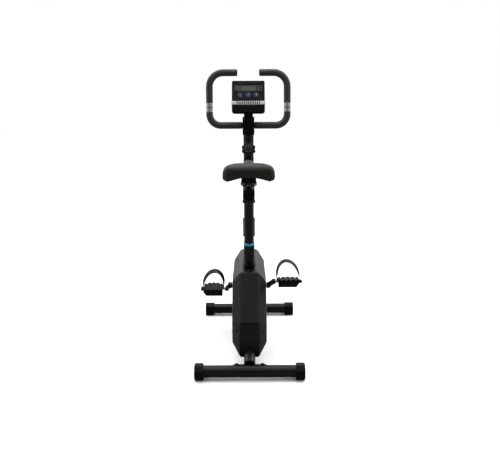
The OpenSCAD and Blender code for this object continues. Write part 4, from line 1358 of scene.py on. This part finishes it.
def strap(side):
    """The toe strap: a flat band that leans over at its crown, its slots drawn as thin dark marks."""
    name = sided("strap", side)
    bm = bmesh.new()
    rows = []
    count = 60
    for i in range(count + 1):
        t = 4.5 + (176.5 - 4.5) * i / count
        p, _, out = strap_frame(t)
        lean = math.radians(10 + 26 * math.sin(math.radians(t)) * (0.55 + 0.45 * (t / 180)))
        if side < 0:
            lean = math.radians(12 + 30 * math.sin(math.radians(t)) * (0.6 + 0.4 * (t / 180)))
        ends = min(1, (t - 4.5) / 12, (176.5 - t) / 12)
        lean *= max(0, ends)
        across = Vector((0, 1, 0)) * math.cos(lean) + out * math.sin(lean)
        face = out * math.cos(lean) - Vector((0, 1, 0)) * math.sin(lean)
        half, thick = 0.0124, 0.00105
        section = ((-half, -0.5), (-half * 0.97, -1), (half * 0.97, -1), (half, -0.5), (half, 0.5),
                   (half * 0.97, 1), (half * 0.4, 0.8), (0, 0.72), (-half * 0.4, 0.8), (-half * 0.97, 1),
                   (-half, 0.5))
        rows.append([p + across * u + face * v * thick for u, v in section])
    rows = loft(bm, rows, closed=False)
    bm.faces.new(rows[0])
    bm.faces.new(list(reversed(rows[-1])))
    bmesh.ops.recalc_face_normals(bm, faces=bm.faces)
    obj = make_object(name + "_band", bm, pedal_matrix(side), 40)
    settle(obj, strap_rubber, name)
    holes = bmesh.new()
    for k in range(6):
        p, ahead, out = strap_frame(128 + 7.5 * k)
        frame_matrix = Matrix((ahead, Vector((0, 1, 0)), out)).transposed().to_4x4()
        frame_matrix.translation = p
        block(holes, (-0.0016, -0.0045, 0.00085), (0.0016, 0.0045, 0.00085 + 0.0004), frame_matrix)
    fit_to(name, make_object(name + "_slots", holes, pedal_matrix(side)), black_nylon)


for side in (1, -1):
    pedal(side)
    strap(side)


# ---------------------------------------------------------------- stand

def leveller(side):
    """The rear cap: eight sided with eased corners, eccentric, and sunk at its end."""
    node = sided("leveller", side)
    low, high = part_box(node)
    x0, x1 = (low.x, high.x) if side > 0 else (-high.x, -low.x)
    centre = (low + high) / 2
    bm = bmesh.new()
    half = 0.034
    rings = []
    for x, s in ((x0, 0.955), (x0 + 0.002, 0.99), (x0 + 0.0045, 1.0), (x1 - 0.007, 1.0),
                 (x1 - 0.0025, 0.985), (x1 - 0.0005, 0.93), (x1, 0.88), (x1, 0.70), (x1 - 0.0018, 0.66)):
        ring = []
        for k in range(8):
            a = math.radians(22.5 + 45 * k)
            r = half / math.cos(math.radians(22.5)) * s
            for da in (-7, -2.5, 2.5, 7):
                b = a + math.radians(da)
                flat = half * s / max(math.cos(b - math.radians(45 * round(math.degrees(b) / 45))), 0.9)
                q = min(flat, r * 0.985)
                ring.append((x, centre.y + q * math.cos(b), centre.z + q * math.sin(b)))
        rings.append(ring)
    rings = loft(bm, rings, closed=False)
    bm.faces.new(rings[0])
    bm.faces.new(list(reversed(rings[-1])))
    bmesh.ops.recalc_face_normals(bm, faces=bm.faces)
    obj = make_object(node + "_cap", bm)
    socket = rod_tool((x0 - 0.01, -0.380, 0.0355), (x1 - 0.006, -0.380, 0.0355), 0.02545, 64)
    cut_with(obj, socket, "socket")
    if side < 0:
        flip_side(obj)
    settle(round_edges(obj, 0.0008, 3), black_nylon, node)


def roller(side):
    """A transport wheel: a grooved tyre on a dished hub."""
    node = sided("wheel", side)
    low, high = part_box(node)
    centre = (low + high) / 2
    place = Matrix.Translation(centre) @ Matrix.Rotation(math.pi / 2, 4, "Y")
    bm = bmesh.new()
    half = [(0.0031, 0.0085), (0.0062, 0.0098), (0.0072, 0.0085), (0.0155, 0.0080), (0.0170, 0.0100),
            (0.0195, 0.0098), (0.0206, 0.0085), (0.0210, 0.0060), (0.0203, 0.0050), (0.0203, 0.0040),
            (0.0210, 0.0030)]
    profile = [(r, -z) for r, z in half] + half[::-1]
    lathe(bm, profile)
    settle(make_object(node + "_tyre", bm, place, 50), wheel_rubber, node)


for side in (1, -1):
    leveller(side)
    roller(side)


# ---------------------------------------------------------------- seat tube ring

def blue_ring():
    """The blue bushing's flange, with a rolled lip and a dished mouth."""
    bm = bmesh.new()
    s = 0.117
    profile = [(0.0218, s - 0.0002), (0.0236, s), (0.0241, s + 0.0012), (0.0240, s + 0.0040),
               (0.0236, s + 0.0052), (0.0240, s + 0.0064), (0.0241, s + 0.0092), (0.0237, s + 0.0106),
               (0.0228, s + 0.0110), (0.0216, s + 0.0104), (0.0204, s + 0.0088), (0.02005, s + 0.0060)]
    lathe(bm, profile, 72, closed=False)
    settle(make_object("bushing_flange", bm, SEAT_AT, 60), blue_nylon, "seat_bushing")


def mast_sleeve():
    """The sleeve over the mast joint: ribbed ends and a shallow waist."""
    bm = bmesh.new()
    s = -0.544
    profile = [(0.02405, s), (0.0285, s), (0.0297, s + 0.0012), (0.0300, s + 0.0030), (0.0300, s + 0.0100),
               (0.0293, s + 0.0112), (0.0293, s + 0.0740), (0.0300, s + 0.0752), (0.0300, s + 0.0848),
               (0.0290, s + 0.0890), (0.0272, s + 0.0925), (0.0262, s + 0.0930), (0.02405, s + 0.0930)]
    lathe(bm, profile, 72)
    obj = make_object("mast_sleeve", bm, MAST_AT, 40)
    bore = rod_tool(MAST_AT @ Vector((0, 0, -0.60)), MAST_AT @ Vector((0, 0, -0.40)), 0.02402, 72)
    cut_with(obj, bore, "mast")
    for z in (-0.499, -0.469):
        pocket = rod_tool(MAST_AT @ Vector((0, 0.024, z)), MAST_AT @ Vector((0, 0.06, z)), 0.0078, 32)
        cut_with(obj, pocket, "pocket")
    settle(obj, shroud_abs, "mast_cover")


blue_ring()
mast_sleeve()
